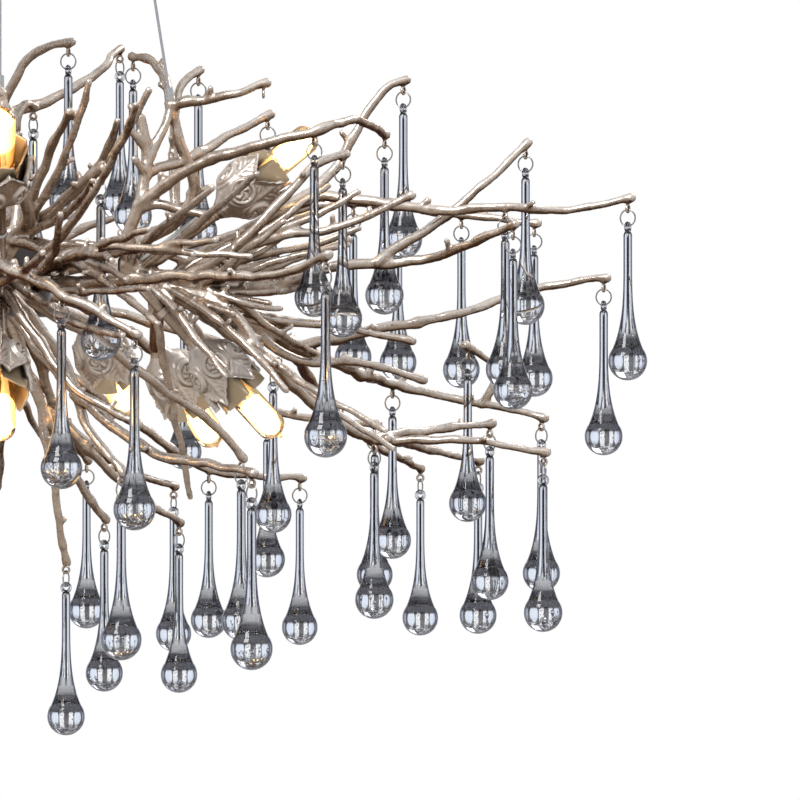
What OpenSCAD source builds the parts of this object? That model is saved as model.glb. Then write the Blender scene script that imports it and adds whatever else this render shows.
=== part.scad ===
// Branch chandelier: cast boughs on a hung hub, with capsule lamps in leaf cups and glass drops on rings.
// Millimetres, +Z up. The origin is the middle of the ceiling plate's upper face.

/* [Ceiling] */
// Diameter of the canopy
canopy_d = 220; // [210:5:300]
// Height of the canopy
canopy_h = 28; // [22:1:60]
// Wall of the canopy
canopy_wall = 1.5; // [1:0.1:2.5]
// Thickness of the ceiling plate
plate_t = 3; // [2:0.5:5]
// Gap between the ceiling plate and the canopy wall
plate_gap = 4; // [2:0.5:8]
// Distance across the four ceiling screw holes
screw_circle = 120; // [80:5:130]
// Diameter of the ceiling screw holes
screw_hole_d = 5.5; // [4:0.5:7]
// Diameter of the hole for the mains cable
cable_hole_d = 20; // [12:1:30]
// Distance from the middle to the two canopy studs
stud_r = 40; // [35:1:50]
// Diameter of the canopy studs
stud_d = 4; // [3:0.5:5]
// Width across the canopy's cap nuts
cap_nut_d = 10; // [8:0.5:14]
// Bore of the cable gland
gland_bore_d = 7; // [5:0.5:9]

/* [Suspension] */
// Height from the hub arms up to the canopy's lower face
wire_span = 205; // [195:5:400]
// Diameter of the suspension wires
wire_d = 1.8; // [1.2:0.1:3]
// Distance from the middle to the wires at the canopy
wire_top_r = 90; // [70:1:92]
// Distance from the middle to the wires at the boughs
wire_low_r = 105; // [100:1:110]
// Height of the wire forks over the hub arms
wire_low_z = 98; // [92:1:104]
// Diameter of the wire grips
grip_d = 9; // [7:0.5:12]
// Length of the wire grips under the canopy
grip_h = 12; // [8:1:25]
// Diameter of the ferrules at the boughs
ferrule_d = 5; // [4:0.5:7]

/* [Hub] */
// Diameter of the hub
hub_d = 62; // [54:1:80]
// Height of the hub housing
hub_h = 40; // [34:1:60]
// Wall of the hub housing
hub_wall = 2; // [1.5:0.1:4]
// Depth of the hub's floor under the hub arms
hub_floor = 32; // [22:1:34]
// Thickness of the hub's lid
lid_t = 3; // [2:0.5:5]
// Diameter of the hub arm tubes
arm_d = 10.5; // [8:0.5:13]
// Wall of the hub arm tubes
arm_wall = 1.5; // [1:0.1:2]
// Distance from the middle to the outer face of the collars
arm_reach = 72; // [66:1:80]
// Diameter of the collars
collar_d = 13.5; // [13:0.5:20]
// Length of the collars
collar_l = 6; // [4:0.5:10]

/* [Boughs] */
// Horizontal reach of the boughs, to the outermost drop
bough_reach = 385; // [375:1:420]
// Radius of the cast stem at the collar
stem_r = 7.5; // [6:0.1:9]
// Radius of the stem where it forks
fork_r = 6; // [5:0.1:7]
// Radius of a twig's swollen tip
tip_r = 3; // [2.4:0.1:4]
// Height of a twig's middle line over its drop's pivot
twig_lift = 7; // [6:0.1:9]

/* [Lamps] */
// Radius of the lamp arm tubes
lamp_arm_r = 3.5; // [2.5:0.1:4.5]
// Radius of the leaf cups
cup_r = 16.5; // [16:0.1:20]
// Length of the leaf cups
cup_l = 38; // [32:1:44]
// Wall of the leaf cups
cup_wall = 1.6; // [1.2:0.1:2]
// Diameter of the rosettes on the leaf cups
rosette_d = 15.5; // [12:0.5:18]
// Radius of the smooth sleeves
sleeve_r = 12.8; // [11.5:0.1:13.2]
// Length of the smooth sleeves
sleeve_l = 42; // [36:1:48]
// Wall of the smooth sleeves
sleeve_wall = 0.9; // [0.6:0.1:1.5]
// Diameter of the lamp sockets
socket_d = 17; // [15:0.5:19]
// Length of the lamp sockets
socket_l = 18; // [16:1:22]
// Diameter of the capsule bulbs
bulb_d = 18; // [14:0.5:19]
// Length of the capsule bulbs over their sockets
bulb_l = 50; // [44:1:58]
// Radius of the lamp leads
lead_r = 1.2; // [0.8:0.1:1.6]

/* [Drops] */
// Length of a glass drop
drop_l = 98; // [85:1:105]
// Diameter of a glass drop's ball
ball_d = 24; // [20:0.5:25]
// Diameter of a glass drop's rod
rod_d = 5.4; // [4:0.1:7]
// Radius of the rings, at the middle of their wire
ring_r = 5; // [4:0.1:6]
// Radius of the rings' wire
ring_wire_r = 0.5; // [0.4:0.05:0.7]
// Radius of the hole in the drop hooks and in the drops' eyelets
eye_hole_r = 1.4; // [1.2:0.05:1.8]
// Radius of the drop hooks' cast wire
hook_wire_r = 0.8; // [0.6:0.05:1]
// Radius of the glass round a drop's eyelet
eyelet_wire_r = 1.2; // [0.9:0.05:1.5]

/* [Hidden] */
$fn = 48;
fit_gap = 0.1;      // between pieces that are screwed or pushed together
seat_gap = 0.1;     // between a ring's wire and the eye that it hangs in
limb_step = 33;     // distance between the rings of a limb, about
tip_l = 4;          // length of a limb's rounded tip past its last point
LAYOUT_REACH = 385; // the reach at which the lists below were laid out

SIDES = ["right", "back", "left", "front"];
function turn_of(side) = 90 * search([side], SIDES)[0];
function is_cross(side) = side == "back" || side == "front";

// Places are [outwards, across, up] from the middle of the hub arms, in the bough's own direction.
// They spread from the stem's fork, and the wire's fork stays under its wire.
stem_fork = [101, 0, -14];
wire_fork = [wire_low_r, 0, wire_low_z];
spread = (bough_reach - stem_fork[0]) / (LAYOUT_REACH - stem_fork[0]);
function at(p) = p == wire_fork ? p : [stem_fork[0] + (p[0] - stem_fork[0]) * spread, p[1] * spread, p[2]];

// A hang line is the pivot of one group of drops: its first and last drop, and where along it they hang.
SIDE_LINES = [
    [[253, 60, 111], [385, -20, 34], [0, 0.55, 1]],
    [[189, -62, 72], [310, -12, 29], [0, 1]],
    [[167, 50, 88], [238, 20, 75], [0, 1]],
    [[209, -22, 60], [310, -58, 16], [0, 1]],
    [[229, 165, 38], [343, 125, 24], [0, 0.25, 0.6, 1]],
    [[380, 60, -13], [251, 120, -80], [0, 0.64, 1]],
    [[346, 110, -101], [146, -40, -124], [0, 0.18, 0.57, 1]],
    [[336, 10, -122], [281, 260, -136], [0, 0.51, 1]]
];
CROSS_LINES = [
    [[130, 59, 45], [300, 180, -10], [0, 1]],
    [[205, 35, -29], [230, 76, -52], [0, 1]],
    [[130, 71, -131], [240, 142, -131], [0, 1]],
    [[90, -43, 136], [60, -124, 116], [0, 0.5, 1]],
    [[100, -21, 96], [190, -78, 139], [0, 1]],
    [[150, -67, -166], [200, -117, -170], [0, 1]],
    [[230, -57, -129], [260, -200, -142], [0, 0.57, 1]],
    [[120, -42, -192], [300, -117, -148], [0, 1]],
    [[240, -177, -96], [230, -248, -106], [0, 1]],
    [[300, -124, -25], [150, -176, -64], [0, 1]]
];
EMPTY_EYE = [161, -12, 104];
function lines_of(side) = is_cross(side) ? CROSS_LINES : SIDE_LINES;
function place(line, k) = line[0] + (line[1] - line[0]) * line[2][k];
function hang(line, k) = at(place(line, k));
function line_turn(line) = let (d = line[1] - line[0]) atan2(d[1], d[0]);
function over(lines, i, k) = place(lines[i], k) + [0, 0, twig_lift];
// A place of one bough, seen from the bough that is a quarter turn clockwise.
function beside(p) = [-p[1], p[0], p[2]];

function drops_name(side, i) = str("drops_", side, "_", i + 1);
function bough_name(side) = str("bough_", side);
function wire_name(side) = str("wire_", side);

// Heights and radii that follow from the sizes above.
cup_seat = 4;
cup_neck_r = 6;
cup_shoulder_z = 15;
cup_waist_z = 27;
rosette_z = 16;
nipple_l = 7;
sleeve_seat = cup_seat + 2 + 2 * fit_gap;
socket_seat = sleeve_seat + sleeve_wall + fit_gap;
spigot_l = 10;
hub_z = -(canopy_h + wire_span);
wire_top_z = wire_span - grip_h;
plate_r = canopy_d / 2 - canopy_wall - plate_gap;
hub_top = hub_h - hub_floor;

// Limbs of a bough: radius at the start, radius at the end, points on the way.
ENTRY = [
    [4.6, 3.4, [[86, 2, -2], [88, 12, 16], [106, 17, 25], [117, 14, 40], [118, 10, 56], [109, 4, 78], wire_fork]],
    [4.8, 3.2, [[80, -2, 0], [77, -8, 14], [84, -11, 34], [90, -9, 64], [86, -9, 90]]],
    [3.4, 3, [[90, -9, 62], [98, -5, 80], wire_fork]]
];
SIDE_LIMBS = concat(ENTRY, [
    [3.8, 2.6, [wire_fork, [101, 30, 118], [93, 54, 130], beside(over(CROSS_LINES, 3, 1))]],
    [3.6, 2.6, [[108, 14, 30], [108, 32, 78], [112, 46, 112], beside(over(CROSS_LINES, 3, 2))]],
    [3.6, 2.4, [wire_fork, [124, -6, 101], [143, -14, 105], EMPTY_EYE + [0, 0, twig_lift]]],
    [4.8, 2.6, [stem_fork, [125, 18, 8], [160, 30, 26], [200, 48, 52], [220, 55, 80],
        [238, 58, 110], over(SIDE_LINES, 0, 0)]],
    [4, 2.6, [[84, -11, 36], [124, -32, 62], over(SIDE_LINES, 1, 0), [216, -28, 88],
        over(SIDE_LINES, 2, 1)]],
    [3.6, 2.6, [[89, -9, 56], [116, 12, 66], [142, 40, 82], over(SIDE_LINES, 2, 0)]],
    [4, 2.6, [stem_fork, [140, -34, 8], [176, -36, 44], [194, -28, 62], over(SIDE_LINES, 3, 0)]],
    [5.2, 2.4, [stem_fork, [132, 0, -12], [165, 4, -12], [209, 4, 0], [258, 2, 3], [290, -36, 14],
        over(SIDE_LINES, 3, 1)]],
    [4.2, 2.4, [[148, 26, 20], [195, 22, 42], [240, 8, 38], [275, 4, 34], over(SIDE_LINES, 1, 1), [346, -6, 34],
        over(SIDE_LINES, 0, 2)]],
    [3.6, 2.4, [[232, 4, 2], [270, 14, 27], [300, 12, 52], over(SIDE_LINES, 0, 1)]],
    [4.6, 2.4, [stem_fork, [148, 50, 8], [190, 124, 38], over(SIDE_LINES, 4, 0), over(SIDE_LINES, 4, 2),
        over(SIDE_LINES, 4, 3)]],
    [5, 2.4, [stem_fork, [148, 20, -33], [185, 45, -50], [226, 76, -66], over(SIDE_LINES, 5, 2),
        [310, 116, -86], over(SIDE_LINES, 6, 0)]],
    [3.2, 2.4, [[308, 116, -86], [318, 112, -64], over(SIDE_LINES, 5, 1)]],
    [3.8, 2.4, [[185, 45, -50], [230, 55, -40], [290, 56, -28], [340, 76, -12], over(SIDE_LINES, 5, 0)]],
    [4.4, 2.4, [stem_fork, [135, -25, -25], [165, -32, -60], [200, 0, -92], over(SIDE_LINES, 6, 2),
        [285, 12, -108], over(SIDE_LINES, 7, 0)]],
    [3.4, 2.4, [[232, 25, -107], [270, 62, -102], over(SIDE_LINES, 6, 1)]],
    [3.4, 2.4, [[240, 22, -107], [262, 84, -112], [288, 117, -118], over(SIDE_LINES, 7, 1)]],
    [3.8, 2.4, [[180, 42, -49], [205, 120, -80], [240, 175, -110], over(SIDE_LINES, 7, 2)]],
    // twigs without drops
    [3.8, 2.4, [stem_fork, [138, 4, -24], [172, 14, -34], [212, 12, -38], [252, 8, -46]]],
    [3.4, 2.4, [[150, 22, -35], [185, 34, -58], [224, 36, -60], [262, 40, -70]]],
    [3.8, 2.4, [stem_fork, [132, -20, 4], [168, -38, 16], [206, -44, 22], [246, -60, 40]]],
    [3.4, 2.4, [[84, -11, 34], [100, -16, 36], [124, -22, 30]]],
    [3.6, 2.4, [stem_fork, [134, 18, -4], [176, 30, 4], [214, 34, 16]]]
]);
CROSS_LIMBS = concat(ENTRY, [
    [3.8, 2.6, [wire_fork, [100, -14, 128], [94, -30, 141], over(CROSS_LINES, 3, 0)]],
    [3.6, 2.6, [[87, -9, 72], [85, -10, 92], [92, -16, 104], over(CROSS_LINES, 4, 0)]],
    [3.8, 2.6, [wire_fork, [130, -30, 108], [164, -64, 130], [178, -73, 142],
        over(CROSS_LINES, 4, 1)]],
    [4.2, 2.6, [[88, 12, 16], [105, 36, 34], over(CROSS_LINES, 0, 0)]],
    [4.6, 2.4, [stem_fork, [150, 52, -14], [200, 101, -12], [262, 150, -13], over(CROSS_LINES, 0, 1)]],
    [5, 2.4, [stem_fork, [150, -2, -4], over(CROSS_LINES, 1, 0), over(CROSS_LINES, 1, 1)]],
    [4.2, 2.4, [stem_fork, [108, 34, -55], [118, 52, -100], over(CROSS_LINES, 2, 0)]],
    [3.8, 2.4, [[114, 44, -80], [160, 86, -112], [204, 122, -120], over(CROSS_LINES, 2, 1)]],
    [4.6, 2.4, [stem_fork, [104, -20, -70], [122, -42, -122], over(CROSS_LINES, 5, 0)]],
    [3.4, 2.4, [[108, -26, -85], [160, -82, -140], over(CROSS_LINES, 5, 1)]],
    [3.4, 2.4, [[108, -26, -85], [104, -34, -140], over(CROSS_LINES, 7, 0)]],
    [4.8, 2.4, [stem_fork, [165, -22, -50], [200, -38, -95], over(CROSS_LINES, 6, 0)]],
    [4, 2.4, [[165, -22, -50], [215, -92, -100], over(CROSS_LINES, 6, 1), over(CROSS_LINES, 6, 2)]],
    [3.6, 2.4, [[200, -38, -95], [262, -80, -128], over(CROSS_LINES, 7, 1)]],
    [4.8, 2.4, [stem_fork, [150, -52, -22], [200, -120, -62], over(CROSS_LINES, 8, 0),
        over(CROSS_LINES, 8, 1)]],
    [4.4, 2.4, [stem_fork, [160, -40, 0], [230, -95, 4], over(CROSS_LINES, 9, 0)]],
    [3.8, 2.4, [[150, -52, -22], [140, -122, -40], over(CROSS_LINES, 9, 1)]],
    [4.2, 2.4, [stem_fork, [85, 54, -45], [62, 99, -77], [48, 130, -99], beside(over(SIDE_LINES, 6, 3))]],
    // twigs without drops
    [3.8, 2.4, [stem_fork, [128, 14, -36], [156, 44, -76], [184, 78, -96]]],
    [3.6, 2.4, [stem_fork, [128, -14, 4], [150, -52, 26], [158, -90, 42]]],
    [3.6, 2.4, [[88, 12, 16], [112, 28, 60], [140, 40, 84]]],
    [3.6, 2.4, [stem_fork, [84, -22, -50], [74, -50, -80], [60, -68, -92]]]
]);
// Stubs, where a twig was cut off: foot and tip.
STUBS = [
    [[80, 0, 4], [74, 10, 20]], [[80, -4, 0], [82, -16, 8]], [[90, -9, 54], [82, -17, 64]],
    [[88, -9, 72], [78, -12, 84]], [[117, 14, 44], [128, 18, 48]], [[110, 16, 28], [106, 28, 38]],
    [[98, 4, -16], [92, 12, -32]], [[86, -9, 88], [80, -6, 97]]
];
function limbs_of(side) = is_cross(side) ? CROSS_LIMBS : SIDE_LIMBS;

// Lamps: direction round the hub, distance and height of the base, tilt of the lamp,
// and direction, distance and height of the arm's root on the cast stem.
UPPER = [132, 31, 40];
LOWER = [117, -46, -47];
UPPER_ROOT = [80, -8];
LOWER_ROOT = [88, -14];
BETWEEN_ROOT = [97, -12];
LAMPS = concat(
    [for (side = SIDES) let (a = turn_of(side)) concat(a, UPPER, a, UPPER_ROOT)],
    [for (side = SIDES) let (a = turn_of(side)) concat(a, LOWER, a, LOWER_ROOT)],
    [for (half = [0, 180]) concat(40 + half, [128, -50, -50], half, BETWEEN_ROOT)],
    [for (half = [0, 180]) concat(62 + half, [120, -34, -45], 90 + half, BETWEEN_ROOT)]
);
function around(a, r, z) = [r * cos(a), r * sin(a), z];
function lamp_base(lamp) = around(lamp[0], lamp[1], lamp[2]);
function arm_root(lamp) = around(lamp[4], lamp[5], lamp[6]);

// Smooth curve through points, as rings of a swept limb.
function curve(a, b, c, d, t) =
    0.5 * (2 * b + (c - a) * t + (2 * a - 5 * b + 4 * c - d) * t * t + (3 * b - a - 3 * c + d) * t * t * t);
function smooth(p, step) = let (last = len(p) - 1) concat(
    [for (i = [0:last - 1]) let (n = max(1, round(norm(p[i + 1] - p[i]) / step))) for (k = [0:n - 1])
        curve(p[max(i - 1, 0)], p[i], p[i + 1], p[min(i + 2, last)], k / n)],
    [p[last]]);
function unit(v) = v / norm(v);
function heading(p, i) = unit(p[min(i + 1, len(p) - 1)] - p[max(i - 1, 0)]);
function level(v, t) = unit(v - (v * t) * t);
function sides_from(p, i, v) = i == len(p) ? [] :
    let (t = heading(p, i), u = level(v, t)) concat([[u, cross(t, u)]], sides_from(p, i + 1, u));

module swept(path, radii, sides) {
    start = heading(path, 0);
    across = abs(start[2]) > 0.9 ? [1, 0, 0] : [0, 0, 1];
    frames = sides_from(path, 0, across);
    last = len(path) - 1;
    points = [for (i = [0:last], j = [0:sides - 1])
        path[i] + radii[i] * (cos(360 * j / sides) * frames[i][0] + sin(360 * j / sides) * frames[i][1])];
    walls = [for (i = [0:last - 1], j = [0:sides - 1]) let (a = i * sides + j, b = i * sides + (j + 1) % sides)
        each [[a, a + sides, b], [b, a + sides, b + sides]]];
    ends = [[for (j = [0:sides - 1]) j], [for (j = [0:sides - 1]) last * sides + sides - 1 - j]];
    polyhedron(points, concat(walls, ends), convexity = 8);
}

// A cast limb: it tapers, swells a little at knots and has a rounded, thicker tip.
module limb(r0, r1, points) {
    last = points[len(points) - 1];
    tip = last + unit(last - points[len(points) - 2]) * tip_l;
    path = concat(smooth(points, limb_step), [tip]);
    n = len(path) - 1;
    knots = [for (i = [0:n]) i == n ? 0.62 : i == n - 1 ? tip_r / r1 : i % 3 == 1 ? 1.14 : 1];
    swept(path, [for (i = [0:n]) (r0 + (r1 - r0) * i / n) * knots[i]], r0 > 4.9 ? 6 : 5);
}

module stub(foot, tip) hull() {
    translate(foot) sphere(tip_r, $fn = 6);
    translate(tip) sphere(tip_r * 0.75, $fn = 5);
}

module rod(a, b, r, sides = 48) {
    d = b - a;
    translate(a) rotate([0, acos(d[2] / norm(d)), atan2(d[1], d[0])]) cylinder(r = r, h = norm(d), $fn = sides);
}

module ring(r, wire) rotate_extrude() translate([r, 0]) circle(wire, $fn = 24);

module on_side(side) translate([0, 0, hub_z]) rotate(turn_of(side)) children();

module at_lamp(lamp) translate([0, 0, hub_z] + lamp_base(lamp)) rotate([0, 90 - lamp[3], lamp[0]]) children();

// Ceiling
module ceiling_plate() color("gainsboro") translate([0, 0, -plate_t]) difference() {
    cylinder(r = plate_r, h = plate_t, $fn = 96);
    translate([0, 0, -1]) cylinder(d = cable_hole_d, h = plate_t + 2);
    for (a = [0:90:270]) {
        rotate(a + 45) translate([screw_circle / 2, 0, -1]) cylinder(d = screw_hole_d, h = plate_t + 2);
        rotate(a) translate([wire_top_r, 0, -1]) cylinder(d = stud_d + 2 * fit_gap, h = plate_t + 2);
    }
    for (a = [90, 270])
        rotate(a) translate([stud_r, 0, -1]) cylinder(d = stud_d + 2 * fit_gap, h = plate_t + 2);
}

module canopy() color("silver") translate([0, 0, -canopy_h]) difference() {
    rotate_extrude($fn = 96) polygon([
        [0, 0], [canopy_d / 2 - 6, 0], [canopy_d / 2 - 1.5, 1.5], [canopy_d / 2, 6], [canopy_d / 2, canopy_h],
        [canopy_d / 2 - canopy_wall, canopy_h], [canopy_d / 2 - canopy_wall, 6.5],
        [canopy_d / 2 - 6.5, canopy_wall], [0, canopy_wall]
    ]);
    translate([0, 0, -1]) cylinder(d = cable_hole_d, h = canopy_wall + 2);
    for (a = [0:90:270])
        rotate(a) translate([wire_top_r, 0, -1]) cylinder(d = stud_d + 2 * fit_gap, h = canopy_wall + 2);
    for (a = [90, 270])
        rotate(a) translate([stud_r, 0, -1]) cylinder(d = stud_d + 2 * fit_gap, h = canopy_wall + 2);
}

module canopy_nuts() color("silver") for (a = [90, 270]) rotate(a) translate([stud_r, 0, 0]) {
    translate([0, 0, -canopy_h - 4]) cylinder(d = stud_d, h = canopy_h + 4 - 0.5);
    translate([0, 0, -canopy_h - 5]) cylinder(d = cap_nut_d, h = 5, $fn = 6);
    translate([0, 0, -canopy_h - 5]) intersection() {
        sphere(d = cap_nut_d * 0.86);
        translate([0, 0, -cap_nut_d / 2]) cylinder(d = cap_nut_d, h = cap_nut_d / 2 + 1);
    }
}

module cable_gland() color("dimgray") translate([0, 0, -canopy_h]) difference() {
    union() {
        translate([0, 0, -12]) cylinder(d1 = gland_bore_d + 5, d2 = cable_hole_d, h = 9);
        translate([0, 0, -3]) cylinder(d = cable_hole_d + 6, h = 3);
        cylinder(d = cable_hole_d - 2 * fit_gap, h = 10);
    }
    translate([0, 0, -13]) cylinder(d = gland_bore_d, h = 24);
}

// Suspension
module wire_fittings() color("silver") for (side = SIDES) {
    rotate(turn_of(side)) translate([wire_top_r, 0, 0]) {
        translate([0, 0, -canopy_h]) cylinder(d = stud_d, h = canopy_h - 0.5);
        translate([0, 0, -canopy_h - grip_h]) cylinder(d1 = grip_d - 3, d2 = grip_d, h = grip_h);
    }
    on_side(side) translate(wire_fork) rotate([0, wire_lean(), 0])
        translate([0, 0, 2]) cylinder(d = ferrule_d, h = 9);
}

function wire_lean() = atan2(wire_top_r - wire_low_r, wire_top_z - wire_low_z);

module wire(side) color("gainsboro") on_side(side) {
    low = wire_fork + [11 * sin(wire_lean()), 0, 11 * cos(wire_lean())];
    rod(low, [wire_top_r, 0, wire_top_z], wire_d / 2);
}

// Hub
module hub_housing() color("dimgray") translate([0, 0, hub_z - hub_floor]) difference() {
    rotate_extrude($fn = 96) polygon([
        [0, 0], [hub_d / 2 - 1, 0], [hub_d / 2, 1], [hub_d / 2, hub_h], [hub_d / 2 - hub_wall, hub_h],
        [hub_d / 2 - hub_wall, hub_wall], [0, hub_wall]
    ]);
    for (a = [0:90:270]) rotate(a) translate([0, 0, hub_floor]) rotate([0, 90, 0])
        cylinder(d = arm_d + 2 * fit_gap, h = hub_d);
}

module hub_lid() color("dimgray") translate([0, 0, hub_z + hub_top]) difference() {
    union() {
        cylinder(d = hub_d, h = lid_t, $fn = 96);
        translate([0, 0, lid_t]) cylinder(d1 = gland_bore_d + 8, d2 = gland_bore_d + 4, h = 8);
        translate([0, 0, -2]) cylinder(r = hub_d / 2 - hub_wall - fit_gap, h = 2);
    }
    translate([0, 0, -3]) cylinder(d = gland_bore_d, h = lid_t + 12);
}

module terminal_block() color("ivory") translate([0, 0, hub_z - hub_floor + hub_wall]) difference() {
    translate([-15, -9, 0]) cube([30, 18, 12]);
    for (x = [-10, 0, 10]) {
        translate([x, -10, 6]) rotate([-90, 0, 0]) cylinder(d = 3.6, h = 20);
        translate([x, 0, 7]) cylinder(d = 4, h = 6);
    }
}

module hub_arms() color("silver") for (side = SIDES) on_side(side) rotate([0, 90, 0]) difference() {
    union() {
        translate([0, 0, hub_d / 2 - hub_wall - 4]) cylinder(d = arm_d, h = arm_reach - hub_d / 2 + hub_wall + 4);
        translate([0, 0, arm_reach - collar_l]) cylinder(d = collar_d, h = collar_l);
        translate([0, 0, hub_d / 2 + fit_gap]) cylinder(d = arm_d + 4, h = 3);
    }
    translate([0, 0, hub_d / 2 - hub_wall - 5]) cylinder(d = arm_d - 2 * arm_wall, h = arm_reach);
}

// Boughs
module bough(side) color("tan") on_side(side) union() {
    rod([arm_reach - spigot_l, 0, 0], [arm_reach + 1, 0, 0], arm_d / 2 - arm_wall - fit_gap, 16);
    rod([arm_reach + fit_gap, 0, 0], [arm_reach + 4, 0, 0], stem_r, 12);
    rod([arm_reach + 3.5, 0, 0], stem_fork, fork_r + 1, 12);
    translate(stem_fork) sphere(fork_r + 2.4, $fn = 12);
    translate(wire_fork) sphere(4.6, $fn = 10);
    for (l = limbs_of(side)) limb(l[0], l[1], [for (p = l[2]) at(p)]);
    for (s = STUBS) stub(at(s[0]), at(s[1]));
}

module cast_eye() {
    eye_r = eye_hole_r + hook_wire_r;
    rise = eye_hole_r - ring_wire_r - seat_gap;
    translate([0, 0, rise]) rotate([0, 90, 0]) ring(eye_r, hook_wire_r);
    translate([0, 0, rise + eye_r]) cylinder(r = 1.2, h = twig_lift - rise - eye_r - 0.5);
}

module drop_hooks() color("tan") for (side = SIDES) on_side(side) {
    for (line = lines_of(side), k = [0:len(line[2]) - 1])
        translate(hang(line, k)) rotate(line_turn(line)) cast_eye();
    if (!is_cross(side)) translate(at(EMPTY_EYE)) cast_eye();
}

// Lamps
module lamp_arms() color("tan") for (lamp = LAMPS) {
    root = arm_root(lamp);
    base = lamp_base(lamp);
    r = lamp[3] < 0 ? lamp_arm_r + 0.8 : lamp_arm_r;
    translate([0, 0, hub_z]) {
        rod(root, base, r);
        translate(base) sphere(r + 0.4);
        if (lamp[3] < 0)
            rod(root + (base - root) * 0.4, root + (base - root) * 0.4 + unit(base - root) * 4, r + 1.2);
    }
    at_lamp(lamp) cylinder(r1 = r, r2 = cup_neck_r, h = cup_seat);
}

module lamp_leads() color("gainsboro") for (side = SIDES) on_side(side) {
    root = [UPPER_ROOT[0], 0, UPPER_ROOT[1]];
    base = [UPPER[0], 0, UPPER[1]];
    along = unit(base - root);
    lift = [-along[2], 0, along[0]] * (lamp_arm_r + lead_r + 0.3);
    rod(root + lift + along * 4, base + lift - along * 3, lead_r);
    tie = root + (base - root) * 0.62;
    difference() {
        rod(tie - along, tie + along, lamp_arm_r + 0.8);
        rod(tie - along * 2, tie + along * 2, lamp_arm_r + fit_gap);
    }
    rod(tie + lift - along, tie + lift + along, lead_r + 0.8);
}

module leaf_cups() color("tan") for (lamp = LAMPS) at_lamp(lamp) translate([0, 0, cup_seat + fit_gap])
    difference() {
        union() {
            rotate_extrude() polygon([
                [3, 0], [cup_neck_r, 0], [cup_neck_r + 1.6, 2.5], [cup_r - 3.6, 9], [cup_r - 1, cup_shoulder_z],
                [cup_r, cup_waist_z], [cup_r + 0.5, cup_l], [cup_r + 0.5 - cup_wall, cup_l],
                [cup_r - cup_wall, cup_waist_z], [cup_r - 1 - cup_wall, cup_shoulder_z + 0.5], [cup_r - 5.4, 10],
                [cup_neck_r + 0.2, 3.8], [cup_neck_r - 1, 2], [3, 2]
            ]);
            for (a = [0:72:288]) rotate(a - 90) translate([cup_r - 3, 0, rosette_z]) rotate([0, 86, 0])
                difference() {
                    cylinder(d = rosette_d, h = 3.8);
                    translate([0, 0, 3]) cylinder(d = rosette_d - 3.4, h = 2);
                }
        }
        for (a = [0:72:288]) rotate(a) translate([0, 0, cup_l]) rotate([90, 0, 0])
            linear_extrude(cup_r + 5) polygon([[-8, 1], [8, 1], [3, -5], [0, -13.4], [-3, -5]]);
    }

module lamp_sleeves() color("wheat") for (lamp = LAMPS) at_lamp(lamp) translate([0, 0, sleeve_seat])
    difference() {
        rotate_extrude() polygon([
            [3, 0], [cup_neck_r - 1.4, 0], [sleeve_r - 2.6, 8], [sleeve_r, 14.5], [sleeve_r, sleeve_l - 13],
            [sleeve_r + 1.6, sleeve_l - 5],
            [sleeve_r + 4.6, sleeve_l], [sleeve_r + 4 - sleeve_wall, sleeve_l + 0.4],
            [sleeve_r + 1.4 - sleeve_wall, sleeve_l - 4.4], [sleeve_r - sleeve_wall, sleeve_l - 12.6],
            [sleeve_r - sleeve_wall, 14.8], [sleeve_r - 2.6 - sleeve_wall, 8.4],
            [cup_neck_r - 1.8, sleeve_wall], [3, sleeve_wall]
        ]);
        for (a = [0:72:288]) rotate(a) translate([0, 0, sleeve_l]) rotate([90, 0, 0])
            linear_extrude(sleeve_r + 8) polygon([[-6, 1], [6, 1], [2.6, -4], [0.8, -11], [-0.8, -11], [-2.6, -4]]);
    }

module lamp_sockets() color("white") for (lamp = LAMPS) at_lamp(lamp) translate([0, 0, socket_seat])
    difference() {
        union() {
            cylinder(r = 3.4, h = nipple_l + 1);
            translate([0, 0, nipple_l]) cylinder(d = socket_d, h = socket_l - 5);
            translate([0, 0, nipple_l + 1]) cylinder(d = socket_d - 4, h = socket_l - 1);
        }
        translate([0, 0, nipple_l + socket_l - 8]) cylinder(r = 5 + fit_gap, h = 9);
    }

module bulbs() color("khaki") for (lamp = LAMPS) at_lamp(lamp)
    translate([0, 0, socket_seat + nipple_l + socket_l]) rotate_extrude() polygon(concat(
        [[0, -7.9], [5, -7.9], [5, 1], [bulb_d / 2 - 0.8, 2.5], [bulb_d / 2, 6]],
        [for (a = [0:15:75]) [bulb_d / 2 * cos(a), bulb_l - 10 + 7.5 * sin(a)]],
        [[1.6, bulb_l - 2.4], [1.6, bulb_l - 1], [0.8, bulb_l], [0, bulb_l]]
    ));

// Drops
module glass_drop() {
    eye_r = eye_hole_r + eyelet_wire_r;
    eye_z = -2 * ring_r - (eye_hole_r - ring_wire_r - seat_gap);
    top = eye_z + eye_r + eyelet_wire_r;
    low = top - drop_l;
    ball = ball_d / 2;
    neck_z = low + ball + ball * sin(38);
    shoulder = eye_z - eye_r;
    translate([0, 0, eye_z]) rotate([0, 90, 0]) ring(eye_r, eyelet_wire_r);
    rotate_extrude() polygon(concat(
        [[0, shoulder + 0.5], [rod_d * 0.36, shoulder + 0.2], [rod_d / 2, shoulder - 1.6]],
        [for (i = [0, 3, 5, 6, 7, 8, 9]) let (t = i / 10)
            [rod_d / 2 + (ball * cos(38) - rod_d / 2) * pow(t, 3.7), shoulder - 14 + (neck_z - shoulder + 14) * t]],
        [for (a = [38:-16:-74]) [ball * cos(a), low + ball + ball * sin(a)]],
        [[0, low]]
    ));
}

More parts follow.
